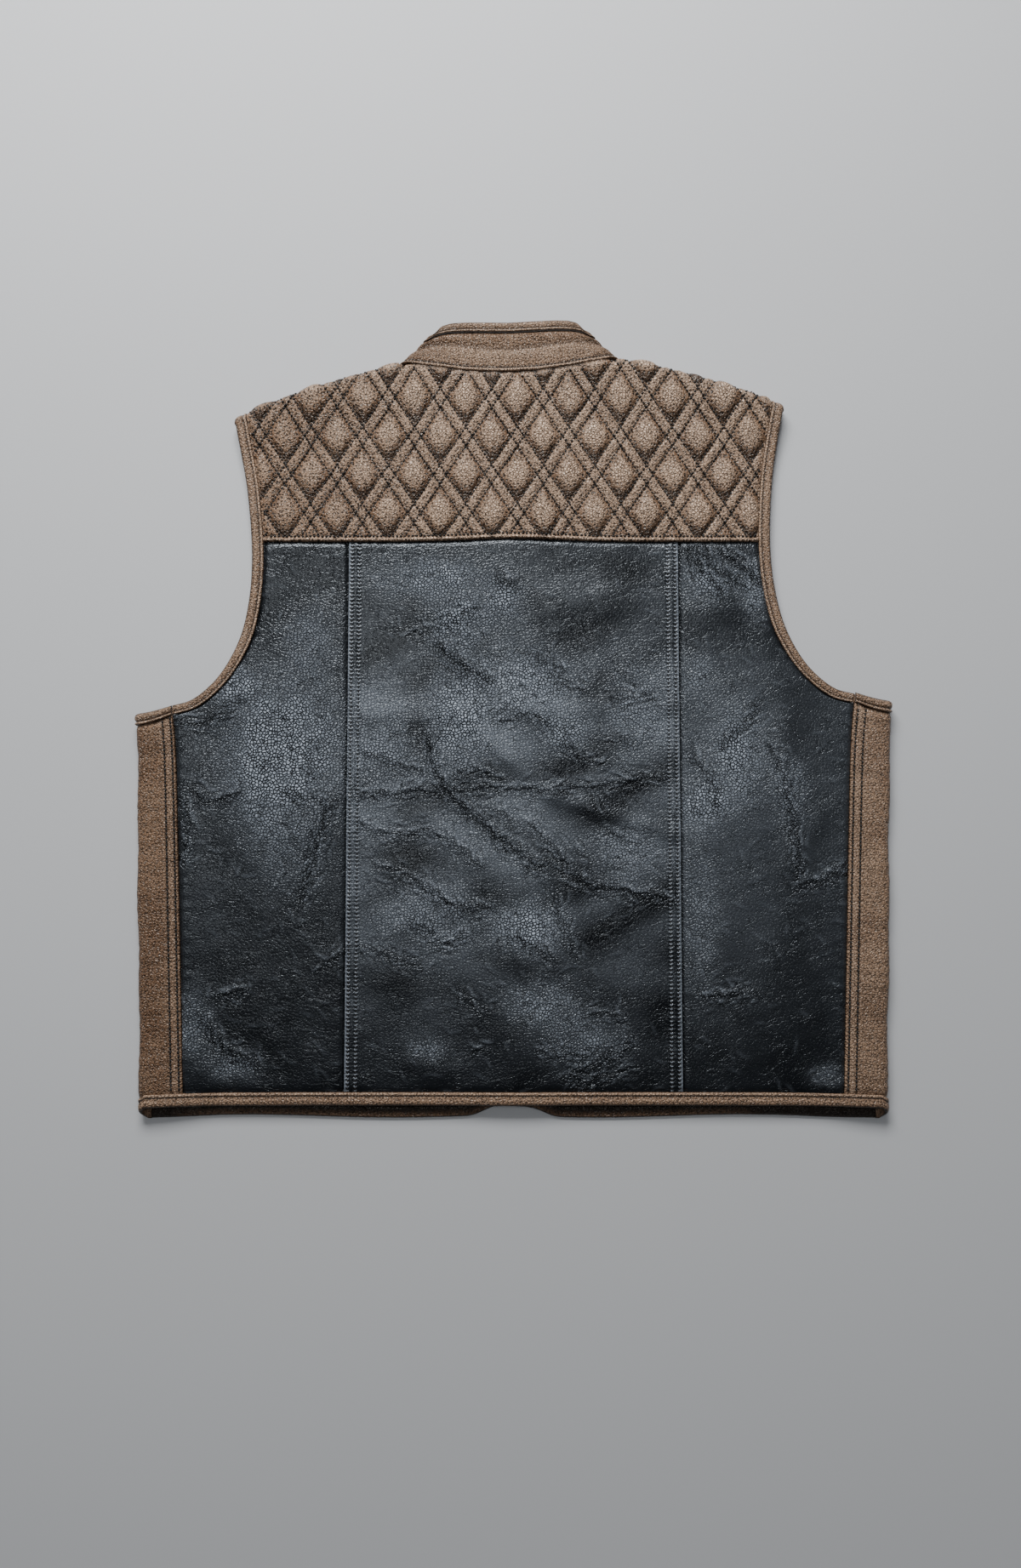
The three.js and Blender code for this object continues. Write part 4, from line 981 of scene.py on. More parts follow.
X_LEFT, X_RIGHT = (float(yoke_edge_at(side, 262)) for side in (-1, 1))
beside_neck = np.array([91, 89.5, 88])
yoke_columns = np.concatenate(
    [
        lerp(X_LEFT, SWAY_X - NECK_CLEAR_X, spaced(120, 1.3)),
        SWAY_X - beside_neck,
        SWAY_X + np.linspace(-NECK_HALF, NECK_HALF, 137),
        SWAY_X + beside_neck[::-1],
        lerp(SWAY_X + NECK_CLEAR_X, X_RIGHT, spaced(120, 1.3)),
    ]
)
nominal_x, nominal_up = np.meshgrid(yoke_columns, spaced(158, 1.3))
grid_v = lerp(yoke_seam_at(nominal_x), yoke_top_at(nominal_x), nominal_up)
reach = [smoothstep(side * nominal_x, 100, 205) for side in (-1, 1)]
shift_left = (yoke_edge_at(-1, grid_v) - X_LEFT) * reach[0]
shift_right = (yoke_edge_at(1, grid_v) - X_RIGHT) * reach[1]
grid_x = nominal_x + shift_left + shift_right


def yoke_relief(x, v):
    """Height above the yoke's outer face, its wear with painted highlight, and its painted shade."""
    height, pad, below, seam = quilt_height(x, v)
    foot = v - yoke_seam_at(x)
    neck = np.where(np.abs(x - SWAY_X) < 88, yoke_top_at(x) - v, 99)
    side = np.minimum(x - yoke_edge_at(-1, v), yoke_edge_at(1, v) - x)
    flat = smoothstep(foot, 1.5, 7) * smoothstep(neck, -1, 5) * smoothstep(side, -1, 5)
    hem = turned_edge(foot, 1.2) + 0.9 * bell(foot - 1.6, 1.3) - 0.5 * bell(foot - 4.2, 1.2)
    relief = height * (0.25 + 0.75 * flat) + hem + sunk_edge(neck, 1.1, 2.5) + sunk_edge(side, 1.1, 2.5)
    # Lighter where rubbed: pad crests and channels from wear, less on the left. The pads' lower halves are
    # left out, a painted shade, and the folded lower edge gets a lighter line, partly wear and partly
    # painted highlight.
    wear_and_highlight = 0.42 * (pad <= 0) + (0.06 + 0.85 * smoothstep(pad, 0.3, 0.9)) * (pad > 0)
    wear_and_highlight = wear_and_highlight * lerp(0.35, 1.0, smoothstep(x, -200, -40))
    wear_and_highlight = wear_and_highlight * (1 + 0.12 * np.sin(x / 33) * np.sin(v / 27))
    wear_and_highlight = np.clip(wear_and_highlight * (1 - 0.8 * below) + 0.5 * bell(foot - 1.5, 1.2), 0, 1)
    sides = smoothstep(pad, 0, 0.15) * (1 - smoothstep(pad, 0.3, 0.75))
    # Painted shade: along the quilting seams, on the pads' lower flanks and under the collar at the neck.
    dark = np.clip(0.35 * seam * flat + 0.70 * below * sides + 0.7 * bell(neck, 1.5), 0, 0.9)
    return relief, wear_and_highlight, dark


BROWN = {
    "low": (0.120, 0.062, 0.032, 1),
    "high": (0.190, 0.110, 0.062, 1),
    "wear_and_sheen": (0.640, 0.462, 0.335, 1),
    "pore": (0.008, 0.0045, 0.003, 1),
    "tint": (1.0, 0.96, 0.9, 1),
    "blotch_scale": 24.0,
    "grain": 2.3,
    "pore_pitch": 3.1,
    "pore_share": 1.0,
    "edge_share": 0.18,
    "crinkle_pitch": 6.0,
    "crinkle_depth": 0.3,
    "crack_share": 0.25,
    "pucker_highlight_share": 0.15,
    "rough": (0.30, 0.44),
    "gloss": 0.5,
    "wrinkle": 0.5,
    "wrinkle_scale": 230.0,
    "depth": 0.6,
    "grain_base": 0.5,
    "tight_gain": 0.6,
}
quilted_leather = leather("quilted_brown_leather", BROWN)
PLAIN_BROWN = {**BROWN, "pore_pitch": 2.9, "pore_share": 0.65, "crack_share": 0.1}
brown_leather = leather("plain_brown_leather", PLAIN_BROWN)
relief, wear_and_highlight, dark = yoke_relief(grid_x, grid_v)
yoke = shell(
    "leather_yoke",
    over_shoulder(grid_x, grid_v, -YOKE_LIFT - relief),
    over_shoulder(grid_x, grid_v, BACK_WALL - YOKE_LIFT),
    np.stack([grid_x, grid_v], -1),
    quilted_leather,
    {"wear_and_sheen": wear_and_highlight, "tight": wear_and_highlight, "dark": dark},
)
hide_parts("yoke")


def on_yoke(x, v, depth):
    return over_shoulder(x, v, depth - YOKE_LIFT - yoke_relief(x, v)[0])


# The quilting's stitches run along both sides of each channel, up to the yoke's edges.
quilt_rows = []
for direction in (1, -1):
    for cell in range(-9, 10):
        for half in (-PAD_SHARE / 2, PAD_SHARE / 2):
            v = np.arange(138, 306, 0.5)
            x = QUILT_CENTRE_X + QUILT_X * (cell + half - direction * (v - QUILT_CENTRE_Y) / QUILT_Y)
            inside = (v > yoke_seam_at(x) + 3.5) & (v < yoke_top_at(x) - 1.5)
            inside &= (v < shoulder_at(x) + SHOULDER_RADIUS * 0.9)
            inside &= (x > yoke_edge_at(-1, v) + 1) & (x < yoke_edge_at(1, v) - 1)
            if inside.sum() > 8:
                quilt_rows.append(np.stack([x[inside], v[inside]], -1))
seam_x = np.arange(-200, 200, 1.0)
quilt_rows.append(np.stack([seam_x, yoke_seam_at(seam_x) + 4.2], -1))
quilt_thread = sew("thread_yoke", on_yoke, quilt_rows, length=2.0, radius=0.8, sunk=-0.25)


# Side strips: a band of brown cowhide on each side, wrapped round the side fold and sewn over
# the black panels with two rows of topstitching along its inner edges.
FRONT_HEM_EDGE = -321.5
STRIP_ROWS = (2.4, 8.6)
STRIP_FLAT = 23.6


def front_hem_at(x):
    wave = -1.3 * np.cos((np.abs(x + 15) - 80) / 38) * (1 - smoothstep(np.abs(x), 230, 295))
    return FRONT_HEM_EDGE + 8 * np.exp(-((x / 26) ** 4)) - 1.8 * (np.abs(x) / SIDE_FOLD_X) ** 6 + wave


def strip_head_at(reach):
    share = np.clip((reach + STRIP_FLAT) / (2 * STRIP_FLAT + np.pi * SIDE_RADIUS), 0, 1)
    return lerp(STRIP_TOP, -5.5, np.sin(np.pi * share))


def over_side(side, y, reach, depth):
    """Place of a point that is reach past the start of the side fold, which runs under."""
    start = side_fold_at(y) - SIDE_RADIUS
    turn = np.clip(reach / SIDE_RADIUS, 0, np.pi)
    inner = SIDE_RADIUS - flush(depth, turn)
    rest = np.maximum(reach - np.pi * SIDE_RADIUS, 0)
    flat = reach <= 0
    x = np.where(flat, start + reach, start + inner * np.sin(turn) - rest)
    z = np.where(flat, back_height(side * x, y) - depth, SIDE_RADIUS + inner * np.cos(turn))
    return joined(side * x, y, z)


def strip_ripple(side, from_edge, y):
    """Small creases across a strip, from -1 to 1."""
    return np.sin(y / 2.1 + 2.2 * np.sin(y / 15 + side) + from_edge / 9) * np.sin(y / 13 + 2 * side)


def strip_relief(side, from_edge, y, top):
    relief = turned_edge(from_edge, 1.1) + topstitched(from_edge, STRIP_ROWS) + 0.5 * bell(from_edge, 12)
    creased = 0.25 * strip_ripple(side, from_edge, y) * smoothstep(from_edge, 1, 8)
    bulge = np.sin(y / 16 + 1.7 * side) * np.sin(y / 41 + side) * smoothstep(from_edge, 6, 20)
    return relief + creased + 0.9 * bulge + sunk_edge(top, 0.9, 2.5)


def strip_marks(side, from_edge, y, reach):
    # Lighter near the topstitching's puff and before the fold, partly wear and partly painted highlight, and
    # a little lighter on the right strip. The dark mark is painted shade in the stitch grooves and ripple
    # troughs.
    patches = 0.5 + 0.5 * np.sin(y / 19 + side) * np.sin(y / 7.3 + reach / 6 + side)
    wear_and_sheen = 0.10 + 0.07 * side + 0.18 * bell(from_edge - 5, 6)
    wear_and_sheen = wear_and_sheen + (0.12 + 0.06 * side) * patches * bell(reach + 9, 8)
    dark = 0.35 * sum(bell(from_edge - row, 0.8) for row in STRIP_ROWS)
    dark = dark + 0.12 * np.clip(-strip_ripple(side, from_edge, y), 0, 1)
    seam = 0.6 * sum(bell(from_edge - row, 1.6) for row in STRIP_ROWS)
    return {"wear_and_sheen": wear_and_sheen, "tight": 0.2 + 0.4 * patches, "dark": dark, "seam": seam}


def strip_surface(side):
    """Gives the place of a stitch from its distance to the strip's edge."""

    def place(from_edge, y, depth):
        flat_width = side_fold_at(y) - SIDE_RADIUS - strip_edge_at(y) - SEAM_GAP
        relief = topstitched(from_edge, STRIP_ROWS) + 0.5 * bell(from_edge, 12)
        return over_side(side, y, from_edge - flat_width, depth - relief)

    return place


FOLD_LENGTH = np.pi * SIDE_RADIUS
for side, word in SIDES:
    flat_shares = spaced(2 * STRIP_FLAT, 1.5)
    half = flat_shares[: len(flat_shares) // 2 + 1] / flat_shares[len(flat_shares) // 2]
    fold_shares = np.linspace(0, 1, 13)
    # Columns of points: away is how far out a flat part goes, and fold how far round the fold.
    away = np.concatenate([half - 1, np.zeros(11), 1 - half[::-1]])
    fold = np.concatenate([np.zeros(len(half)), fold_shares[1:-1], np.ones(len(half))])
    middle = len(half) // 2
    while (len(away) - 1) % UNDER_STRIDE:
        away = np.insert(away, middle, (away[middle - 1] + away[middle]) / 2)
        fold = np.insert(fold, middle, 0.0)
    up = spaced(305, 2.0)
    away_grid, up_grid = np.meshgrid(away, up)
    fold_grid = np.meshgrid(fold, up)[0]
    edge_x = SIDE_FOLD_X - SIDE_RADIUS - np.abs(away_grid) * STRIP_FLAT
    foot = lerp(back_hem_at(edge_x), front_hem_at(edge_x), fold_grid) + HEM_WIDTH + SEAM_GAP
    head = strip_head_at(fold_grid * FOLD_LENGTH + away_grid * STRIP_FLAT) - SEAM_GAP
    level = lerp(foot, head, up_grid)
    y = level + lean_at(level) * side * SIDE_FOLD_X * up_grid
    flat_width = side_fold_at(y) - SIDE_RADIUS - strip_edge_at(level) - SEAM_GAP
    reach = fold_grid * FOLD_LENGTH + away_grid * flat_width
    from_edge = (1 - np.abs(away_grid)) * flat_width + 50 * ((fold_grid > 0) & (fold_grid < 1))
    relief = strip_relief(side, from_edge, y, np.minimum(head - level, level - foot))
    relief = np.where(fold_grid >= 0.99, np.minimum(relief, 0), relief)
    strip = shell(
        f"leather_side_strip_{word}",
        over_side(side, y, reach, -relief),
        over_side(side, y, reach, BACK_WALL),
        np.stack([side * reach + side * 400, y], -1),
        brown_leather,
        strip_marks(side, from_edge, y, reach),
    )
    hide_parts(f"side_strip_{word}")
    row_foot = STITCH_PITCH * math.ceil((BACK_HEM_EDGE + HEM_WIDTH + 1) / STITCH_PITCH)
    rows = [straight(row, row_foot, row, STRIP_TOP - 1 + side * 4) for row in STRIP_ROWS]
    strip_thread = sew(f"thread_side_strip_{word}", strip_surface(side), rows, radius=0.8, sunk=-0.3,
                       margin=0.4)


# Collar: a low stand collar of brown cowhide that runs round the neck to the centre front. It
# lies flat, folded at both sides, with a soft crease along its middle.
COLLAR_FRONT = [
    (85, 288.5, 65, 307),
    (76, 273, 54, 298),
    (61, 257, 39, 287),
    (41, 242, 25, 277),
    (20, 233, 13, 270),
    (0.5, 230, 0.5, 267),
]
COLLAR_RADIUS = 5.0
COLLAR_WALL = 2.6
COLLAR_STATIONS, STATION_LENGTH = 201, 2.2


def collar_stations(count):
    """Rows of neck x, neck y, edge x, edge y and turn, from front left to front right."""
    halves = []
    for side in (-1, 1):
        back, front = (
            np.concatenate([placed(side, rows[:, 0], rows[:, 1]), placed(side, rows[:, 2], rows[:, 3])], -1)
            for rows in (np.array(COLLAR_BACK, float), np.array(COLLAR_FRONT, float))
        )
        turned = [lerp(back[-1], front[0], k / 5) for k in range(1, 5)]
        spots = np.concatenate([back, turned, front])
        turn = np.concatenate([np.zeros(6), np.pi * np.arange(1, 5) / 5, np.full(6, np.pi)])
        halves.append(np.column_stack([spots, turn]))
    rows = np.concatenate([halves[0][::-1], halves[1][1:]])
    steps = np.hypot(*np.diff(rows[:, :2], axis=0).T) + 3 * np.abs(np.diff(rows[:, 4]))
    fine = resampled_by(rows, np.concatenate([[0], np.cumsum(steps)]), np.linspace(0, 1, count))
    for _ in range(3):
        fine[1:-1, :4] = (fine[:-2, :4] + 2 * fine[1:-1, :4] + fine[2:, :4]) / 4
    return fine


collar_rows = collar_stations(COLLAR_STATIONS)


def on_collar(station, distance, depth):
    """Place of a point on the collar at a distance up from the neck seam."""
    at = np.arange(len(collar_rows))
    nx, ny, ex, ey, turn = (np.interp(station, at, collar_rows[:, k]) for k in range(5))
    band = np.hypot(ex - nx, ey - ny)
    share = distance / band
    inner = COLLAR_RADIUS - flush(depth, turn)
    side = np.sign(nx - SWAY_X)
    x = lerp(nx, ex, share) + side * inner * np.sin(turn)
    z = COLLAR_RADIUS + inner * np.cos(turn)
    return joined(x, lerp(ny, ey, share), z)


def collar_crease(station, band):
    """How far from the neck seam the collar's crease runs."""
    return 0.62 * band + 1.5 * np.sin(station / 9)


def collar_relief(station, distance, band):
    relief = turned_edge(distance, 1.0) + 0.75 * bell(distance - 1.5, 1.1) - 0.55 * bell(distance - 3.4, 0.8)
    from_crease = distance - collar_crease(station, band)
    relief = relief - 0.9 * bell(from_crease, 2.8) + 0.5 * bell(from_crease + 6, 5)
    relief = relief + 0.35 * bell(distance - 0.85 * band, 3) + sunk_edge(band - distance, 1.2, 1.6)
    return relief + 0.12 * np.sin(station / 2.3 + distance / 3) * np.sin(distance / 1.9)


def collar_marks(station, distance, band):
    # Lighter over the band's middle and the ridge by the seam, less on the turned ends: partly wear and
    # partly painted highlight. The dark mark is painted shade in the stitch groove, along the crease and at
    # the binding's edge.
    ends = smoothstep(np.abs(station - 100), 32, 52)
    wear_and_sheen = (0.12 + 0.2 * bell(distance - 0.4 * band, 6)) * (1 - 0.8 * ends) + 0.4 * bell(distance - 1.5, 1.2)
    from_crease = distance - collar_crease(station, band)
    dark = 0.8 * bell(distance - 3.4, 0.8) + 0.45 * bell(from_crease, 1.6)
    dark = dark + 0.9 * bell(band - distance, 1.2)
    return {"wear_and_sheen": wear_and_sheen, "tight": 0.5 + 0 * wear_and_sheen, "dark": np.clip(dark, 0, 0.9)}


stations = np.arange(COLLAR_STATIONS)
station_grid, share_grid = np.meshgrid(stations, spaced(33, 1.2))
bands = np.hypot(collar_rows[:, 2] - collar_rows[:, 0], collar_rows[:, 3] - collar_rows[:, 1])
band_grid = np.interp(station_grid, stations, bands)
collar_turn = np.interp(station_grid, stations, collar_rows[:, 4])
relief = collar_relief(station_grid, share_grid * band_grid, band_grid)
relief = np.where(collar_turn > 2.6, np.minimum(relief, 0), relief)
collar = shell(
    "leather_collar",
    on_collar(station_grid, share_grid * band_grid, -relief),
    on_collar(station_grid, share_grid * band_grid, COLLAR_WALL),
    np.stack([station_grid * STATION_LENGTH, share_grid * band_grid + 600], -1),
    brown_leather,
    collar_marks(station_grid, share_grid * band_grid, band_grid),
)
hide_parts("collar")


def collar_sew_surface(along, distance, depth):
    station = along / STATION_LENGTH
    band = np.interp(station, stations, bands)
    return on_collar(station, distance, depth - collar_relief(station, distance, band))


neck_row = np.stack([stations[10:190] * STATION_LENGTH, np.full(180, 3.4)], -1)
collar_thread = sew("thread_collar", collar_sew_surface, [neck_row])


# Bindings: strips of brown cowhide folded over the collar's, the armholes' and the hem's edges.
# Each but the fronts' hems is sewn through near its inner edge, which leaves a narrow ridge and a wide plain
# band.
# A binding's section: share of its width from the inner edge, and height over the leather.
BINDING = [
    (0.0, -0.4),
    (0.0, 0.5),
    (0.05, 0.95),
    (0.13, 1.1),
    (0.2, 0.85),
    (0.27, 0.3),
    (0.34, 0.6),
    (0.45, 1.0),
    (0.62, 1.15),
    (0.78, 1.0),
    (0.9, 0.55),
    (0.97, -0.1),
    (1.0, -1.0),
    (0.97, -1.8),
    (0.85, -2.4),
    (0.4, -2.4),
    (0.0, -2.4),
    (0.0, -1.4),
]
STITCH_SHARE = 0.27
binding_across = np.array([row[0] for row in BINDING])
binding_lift = np.array([row[1] for row in BINDING])


def bind(word, surface, inner, outer, replaced, seam=None, sunk=-0.15, thread_name=None,
         proud=1.0, pattern_shift=0.0, wear_and_highlight=0.5, painted_shadow=0.0):
    """A binding along its inner and outer edge, sewn down along a seam.

    proud scales its height, and pattern_shift takes it from another part of the hide. Two more arguments set
    the wear and painted highlight on its ridges, and a painted shadow added to its colour.
    """
    spots = lerp(inner[:, None], outer[:, None], binding_across[None, :, None])
    lift = np.where(binding_lift > 0, binding_lift * proud, binding_lift)
    points = surface(spots[..., 0], spots[..., 1], np.broadcast_to(-lift, spots.shape[:2]))
    count, section = points.shape[:2]
    index = np.arange(count * section).reshape(count, section)
    quads = grid_faces(np.hstack([index, index[:, :1]]))
    run = run_along(inner)
    girth = np.cumsum(np.hypot(np.diff(binding_across * 9, prepend=0), np.diff(binding_lift, prepend=0)))
    pattern = joined(run[:, None] + pattern_shift, girth[None, :] + 900).reshape(-1, 2)
    # Ridges are lighter, partly wear and partly painted highlight. The painted shade darkens the stitch
    # groove and the edge where the binding rolls under.
    ridge = 0.25 + 0.9 * bell(binding_across - 0.12, 0.08) + 0.35 * bell(binding_across - 0.6, 0.2)
    painted_shade = 0.85 * bell(binding_across - STITCH_SHARE, 0.06) + 0.9 * smoothstep(binding_across, 0.82, 1.0)
    marks = {"wear_and_sheen": wear_and_highlight * ridge, "tight": 0.4 + 0 * ridge, "dark": np.clip(painted_shade + painted_shadow, 0, 0.95)}
    marks = {mark: np.broadcast_to(values, (count, section)).ravel() for mark, values in marks.items()}
    ends = [list(index[0, ::-1]), list(index[-1])]
    piece = add_piece(f"binding_{word}", points.reshape(-1, 3), quads, ends, pattern, brown_leather,
                      marks)
    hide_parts(replaced)
    if seam is not None:
        name = thread_name or f"thread_{word}"
        sew(name, surface, [seam], length=2.3, radius=0.3, sunk=sunk)


def on_collar_along(along, distance, depth):
    return on_collar(along / STATION_LENGTH, distance, depth)


half_stations = np.linspace(0, COLLAR_STATIONS - 1, 2 * COLLAR_STATIONS - 1)
collar_edge = np.interp(half_stations, stations, bands)
collar_inner = np.stack([half_stations * STATION_LENGTH, collar_edge + 0.5], -1)
collar_outer = np.stack([half_stations * STATION_LENGTH, collar_edge + 8.4], -1)
collar_seam = lerp(collar_inner, collar_outer, STITCH_SHARE)[16:-16]
bind("collar", on_collar_along, collar_inner, collar_outer, "collar_binding", collar_seam,
     sunk=-0.2, thread_name="thread_collar_binding")


def cap_surface(side):
    """Gives the place of a point on a cap, which leans with the side that it lies on."""

    def place(reach, y, depth):
        return over_side(side, y + lean_at(y) * side * SIDE_FOLD_X, reach, depth)

    return place


def armhole_lines(side):
    """Inner and outer edge of an armhole's binding on the pattern, from back to front."""
    lines = []
    for share in (1, 0):
        back = armhole_curve("back", share)
        front = armhole_curve("front", share)
        back_spots, front_spots = (placed(side, line[:, 0], line[:, 1]) for line in (back, front))
        lines.append((back_spots, front_spots, back[-1, 0]))
    keep_back = np.all([b[:, 1] - shoulder_at(b[:, 0]) < -SHOULDER_RADIUS - 2 for b, _, _ in lines], axis=0)
    ends = []
    for back_spots, front_spots, tip in lines:
        spot = side * tip + SWAY_X
        start = shoulder_at(spot) - SHOULDER_RADIUS
        turns = np.stack([np.full(13, spot), start + np.pi * SHOULDER_RADIUS * np.arange(13) / 12], -1)
        x, y = front_spots[:, 0], front_spots[:, 1]
        front_v = 2 * (shoulder_at(x) - SHOULDER_RADIUS) + np.pi * SHOULDER_RADIUS - y
        ends.append((back_spots[keep_back], turns, np.stack([x, front_v], -1)[::-1]))
    past_fold = (np.pi - 1) * SHOULDER_RADIUS + 2
    keep_front = np.all([v > shoulder_at(x) + past_fold for x, v in (line.T for _, _, line in ends)], axis=0)
    return [np.concatenate([back, turns, front[keep_front]]) for back, turns, front in ends]


CAP_FLAT = float(side_fold_at(0)) - SIDE_RADIUS - ARMHOLE_EDGE[0][0] - 2 * SEAM_GAP
for side, word in SIDES:
    inner_line, outer_line = armhole_lines(side)
    shift = 1000 + 300 * side
    seam = lerp(inner_line, outer_line, STITCH_SHARE)
    start = shoulder_at(seam[:, 0]) - SHOULDER_RADIUS
    on_top = seam[:, 1] < start + 1.9 * SHOULDER_RADIUS
    bind(f"armhole_{word}", over_shoulder, inner_line, outer_line, f"armhole_binding_{word}",
         seam[on_top], pattern_shift=shift)

    reach = np.concatenate([np.linspace(-CAP_FLAT, 0, 15)[:-1], np.linspace(0, FOLD_LENGTH, 15),
                            np.linspace(FOLD_LENGTH, FOLD_LENGTH + CAP_FLAT, 15)[1:]])
    cap_y = strip_head_at(reach) + SEAM_GAP
    cap_inner = np.stack([reach, cap_y], -1)
    cap_outer = np.stack([reach, cap_y + lerp(8, 9.5, (STRIP_TOP - cap_y) / (STRIP_TOP + 5.5))], -1)
    bind(f"cap_{word}", cap_surface(side), cap_inner, cap_outer, f"armhole_cap_{word}",
         lerp(cap_inner, cap_outer, STITCH_SHARE)[1:20], sunk=-0.4, proud=1.7,
         pattern_shift=shift + 80)


# Hem bindings: one on the back, which wraps both side folds, and one on each front. The fronts'
# hem lies a little lower, so its edge shows below the back's.
HEM_WRAP = 3.0
wrap = np.linspace(0, FOLD_LENGTH, 13)
foot_x = float(side_fold_at(BACK_HEM_EDGE)) - SIDE_RADIUS
flat_x = np.linspace(-foot_x, foot_x, 301)


def hem_place(along, y, depth):
    """along runs from the left side's underside, over the back, to the right side's underside."""
    side = np.where(along < 0, -1, 1)
    past = np.abs(along) - foot_x
    flat = past <= 0
    folded = over_side(side, y, np.maximum(past, 1e-6), depth)
    level = joined(along, y, back_height(along, y) - depth)
    return np.where(flat[..., None], level, folded)


def hem_edge(along):
    share = np.clip((np.abs(along) - foot_x) / FOLD_LENGTH, 0, 1)
    at_fold = lerp(back_hem_at(SIDE_FOLD_X), front_hem_at(SIDE_FOLD_X), share)
    return np.where(np.abs(along) <= foot_x, back_hem_at(along), at_fold)


folded_past = np.append(wrap, FOLD_LENGTH + HEM_WRAP)[1:]
hem_along = np.concatenate([-foot_x - folded_past[::-1], flat_x, foot_x + folded_past])
hem_inner = np.stack([hem_along, hem_edge(hem_along) + HEM_WIDTH], -1)
hem_outer = np.stack([hem_along, hem_edge(hem_along)], -1)
hem_seam = lerp(hem_inner, hem_outer, STITCH_SHARE)[6:-6]
bind("hem_back", hem_place, hem_inner, hem_outer, "hem_binding_back",
     hem_seam)


# Fronts: two plain black panels that lie flat on the floor under the back. The left one laps
# over the right one at the centre, held by press studs.
LAP_REACH, LAP_RAISED, LAP_FLAT = 12.0, 15.0, 31.0
FRONT_WALL, LAP_WALL, FRONT_HEM_WALL = 1.8, 1.6, 2.4
OUTER_LAP_BASE, UNDER_LAP_BASE = 1.2, 3.1


def front_base(side, x):
    if side < 0:
        return OUTER_LAP_BASE * smoothstep(x, -LAP_FLAT, -LAP_RAISED)
    return UNDER_LAP_BASE * (1 - smoothstep(x, LAP_RAISED, LAP_FLAT))


def front_head_at(x):
    return shoulder_at(x) - SHOULDER_RADIUS + 1


def front_hem_surface(side):
    """Gives the place of a point on a front's hem, which thins where the fronts overlap."""

    def place(x, y, depth):
        base = front_base(side, x)
        wall = lerp(FRONT_HEM_WALL, LAP_WALL, np.clip(base, 0, 1))
        height = base + wall * np.clip(depth / FRONT_HEM_WALL, 0, 1)
        return joined(x, y, height)

    return place


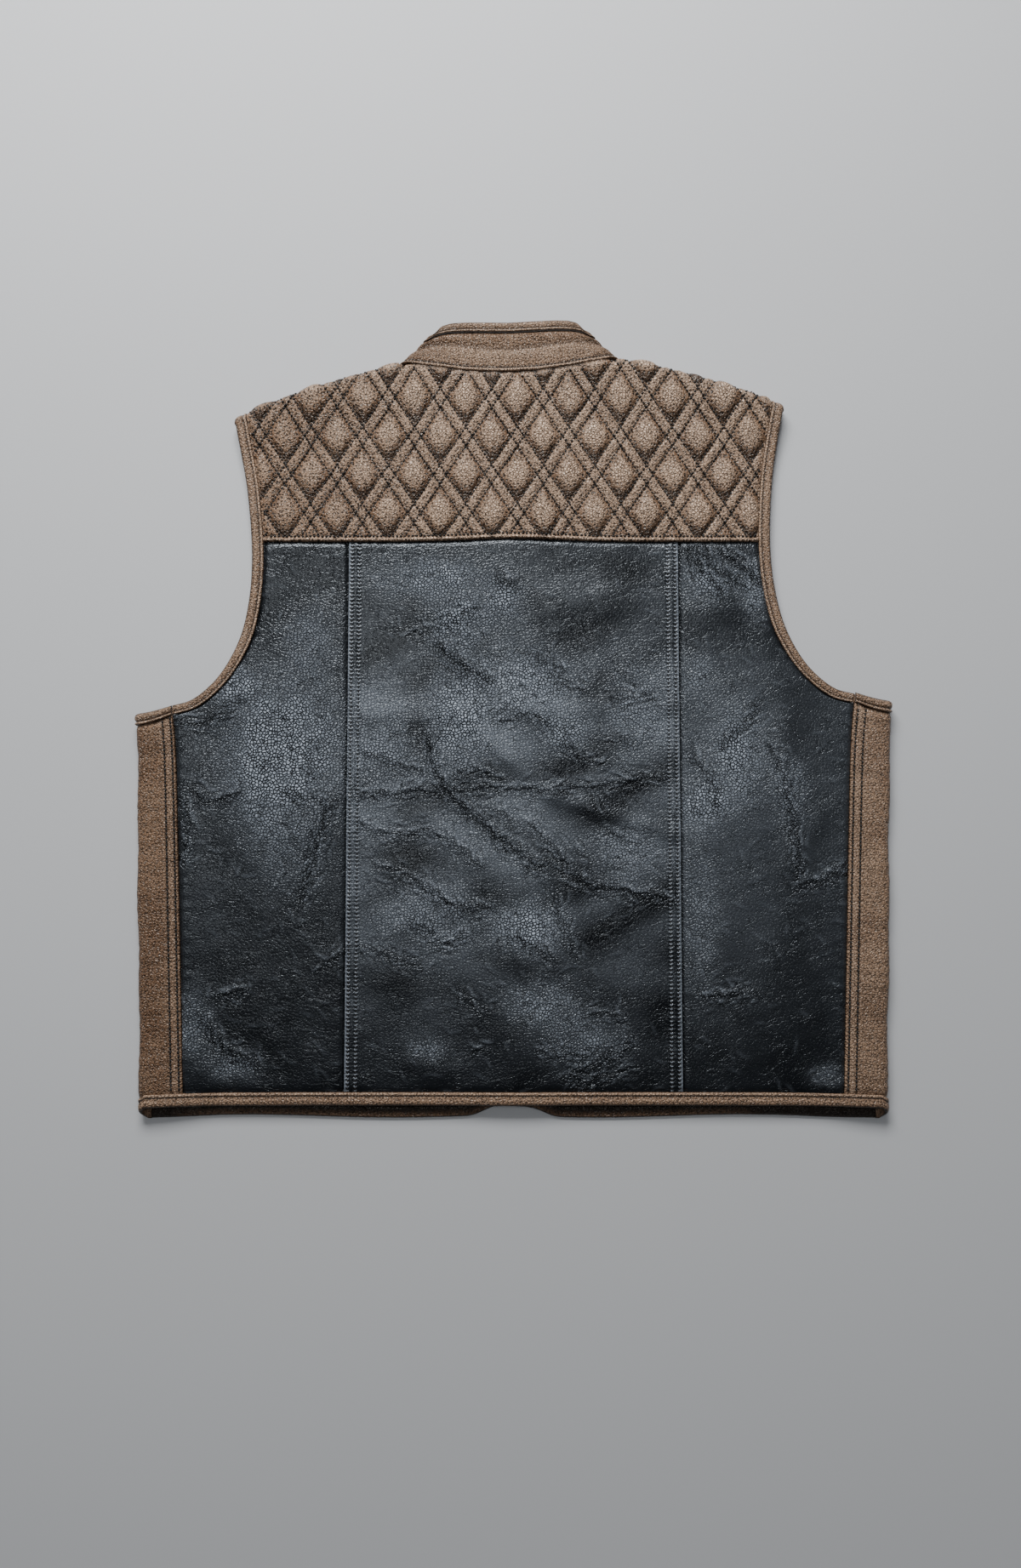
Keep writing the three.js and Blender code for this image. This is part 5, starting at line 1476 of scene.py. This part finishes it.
for side, word in SIDES:
    lap_x = -side * LAP_REACH
    foot = front_hem_at(lap_x) + HEM_WIDTH + SEAM_GAP
    neck = np.array(COLLAR_FRONT, float)[::-1]
    neck_line = placed(side, neck[:, 0] + SEAM_GAP, neck[:, 1] - 2 * SEAM_GAP)
    shoulder_x = side * (armhole_curve("back", 1, SEAM_GAP)[-1, 0] - 0.5) + SWAY_X
    neck_x = side * NECK_CLEAR_X + SWAY_X
    lap_line = [[lap_x, foot], [lap_x, neck_line[0, 1]]]
    inner_line = np.concatenate([lap_line, neck_line, [[neck_x, front_head_at(neck_x)]]])
    strip_y = np.linspace(front_hem_at(side * 260.0) + HEM_WIDTH + SEAM_GAP, STRIP_TOP, 60)
    strip_line = placed(side, strip_edge_at(strip_y) - SEAM_GAP, strip_y)
    armhole = armhole_curve("front", 1, SEAM_GAP)
    arm_line = part_between(placed(side, armhole[:, 0], armhole[:, 1]), strip_line[-1, 1] + 0.5, 236)
    outer_line = np.concatenate([strip_line, arm_line, [[shoulder_x, front_head_at(shoulder_x)]]])
    shares = spaced(640, 4.0)
    inner_edge, outer_edge = resampled(inner_line, shares), resampled(outer_line, shares)
    out = spaced(290, 3.6)
    grid_x = lerp(inner_edge[:, :1], outer_edge[:, :1], out[None, :])
    grid_y = lerp(inner_edge[:, 1:], outer_edge[:, 1:], out[None, :])
    up = np.linspace(0, 1, len(shares))[:, None]
    grid_y = grid_y + (front_hem_at(grid_x) + HEM_WIDTH + SEAM_GAP - grid_y) * (1 - up) ** 60
    grid_y = grid_y + (front_head_at(grid_x) - grid_y) * up**90
    base = front_base(side, grid_x)
    wall = lerp(FRONT_WALL, LAP_WALL, np.clip(base, 0, 1))
    grain = 0.25 + 0.2 * np.sin(grid_x / 31 + grid_y / 43)
    panel = shell(
        f"leather_front_{word}",
        np.stack([grid_x, grid_y, base], -1),
        np.stack([grid_x, grid_y, base + wall], -1),
        np.stack([grid_x + side * 900, grid_y], -1),
        black_leather,
        {"tight": grain, "wear_and_sheen": 0.5 * grain},
    )
    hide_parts(f"front_{word}")

    hem_end = float(side_fold_at(FRONT_HEM_EDGE)) - SIDE_RADIUS - HEM_WRAP - SEAM_GAP
    hem_x = np.linspace(lap_x, side * hem_end, 150)
    hem_outer = np.stack([hem_x, front_hem_at(hem_x)], -1)
    # Painted shadow: the front hem's strip under the back hem's edge and its ends are darkened, where the
    # back hem's shadow falls.
    corner_shadow = smoothstep(-hem_x, 250, 285) + smoothstep(hem_x, 165, 215)
    painted_shadow = corner_shadow[:, None] + 0.15 + 0.8 * (1 - smoothstep(binding_across, 0.5, 0.75))[None, :]
    bind(f"hem_front_{word}", front_hem_surface(side), hem_outer + (0, HEM_WIDTH), hem_outer,
         f"hem_binding_front_{word}", proud=0.0, pattern_shift=2000, wear_and_highlight=0.15,
         painted_shadow=painted_shadow)


# Press studs: the CAD solids, in dark plated steel with a slightly worn surface.
# They close the fronts' overlap, under the back.
stud_material, stud_tree, stud_surface = new_material("dark_steel", 0.35)
stud_noise = shader_node(stud_tree, "ShaderNodeTexNoise", {"Scale": 900.0, "Detail": 2.0})
stud_colour = mixed(stud_tree, stud_noise.outputs["Fac"], (0.06, 0.06, 0.065, 1), (0.16, 0.16, 0.17, 1))
stud_tree.links.new(stud_colour, stud_surface.inputs["Base Color"])
stud_surface.inputs["Metallic"].default_value = 1.0
for number in range(1, 6):
    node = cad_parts[f"press_stud_{number}"]
    for material_slot in node.material_slots:
        material_slot.material = stud_material
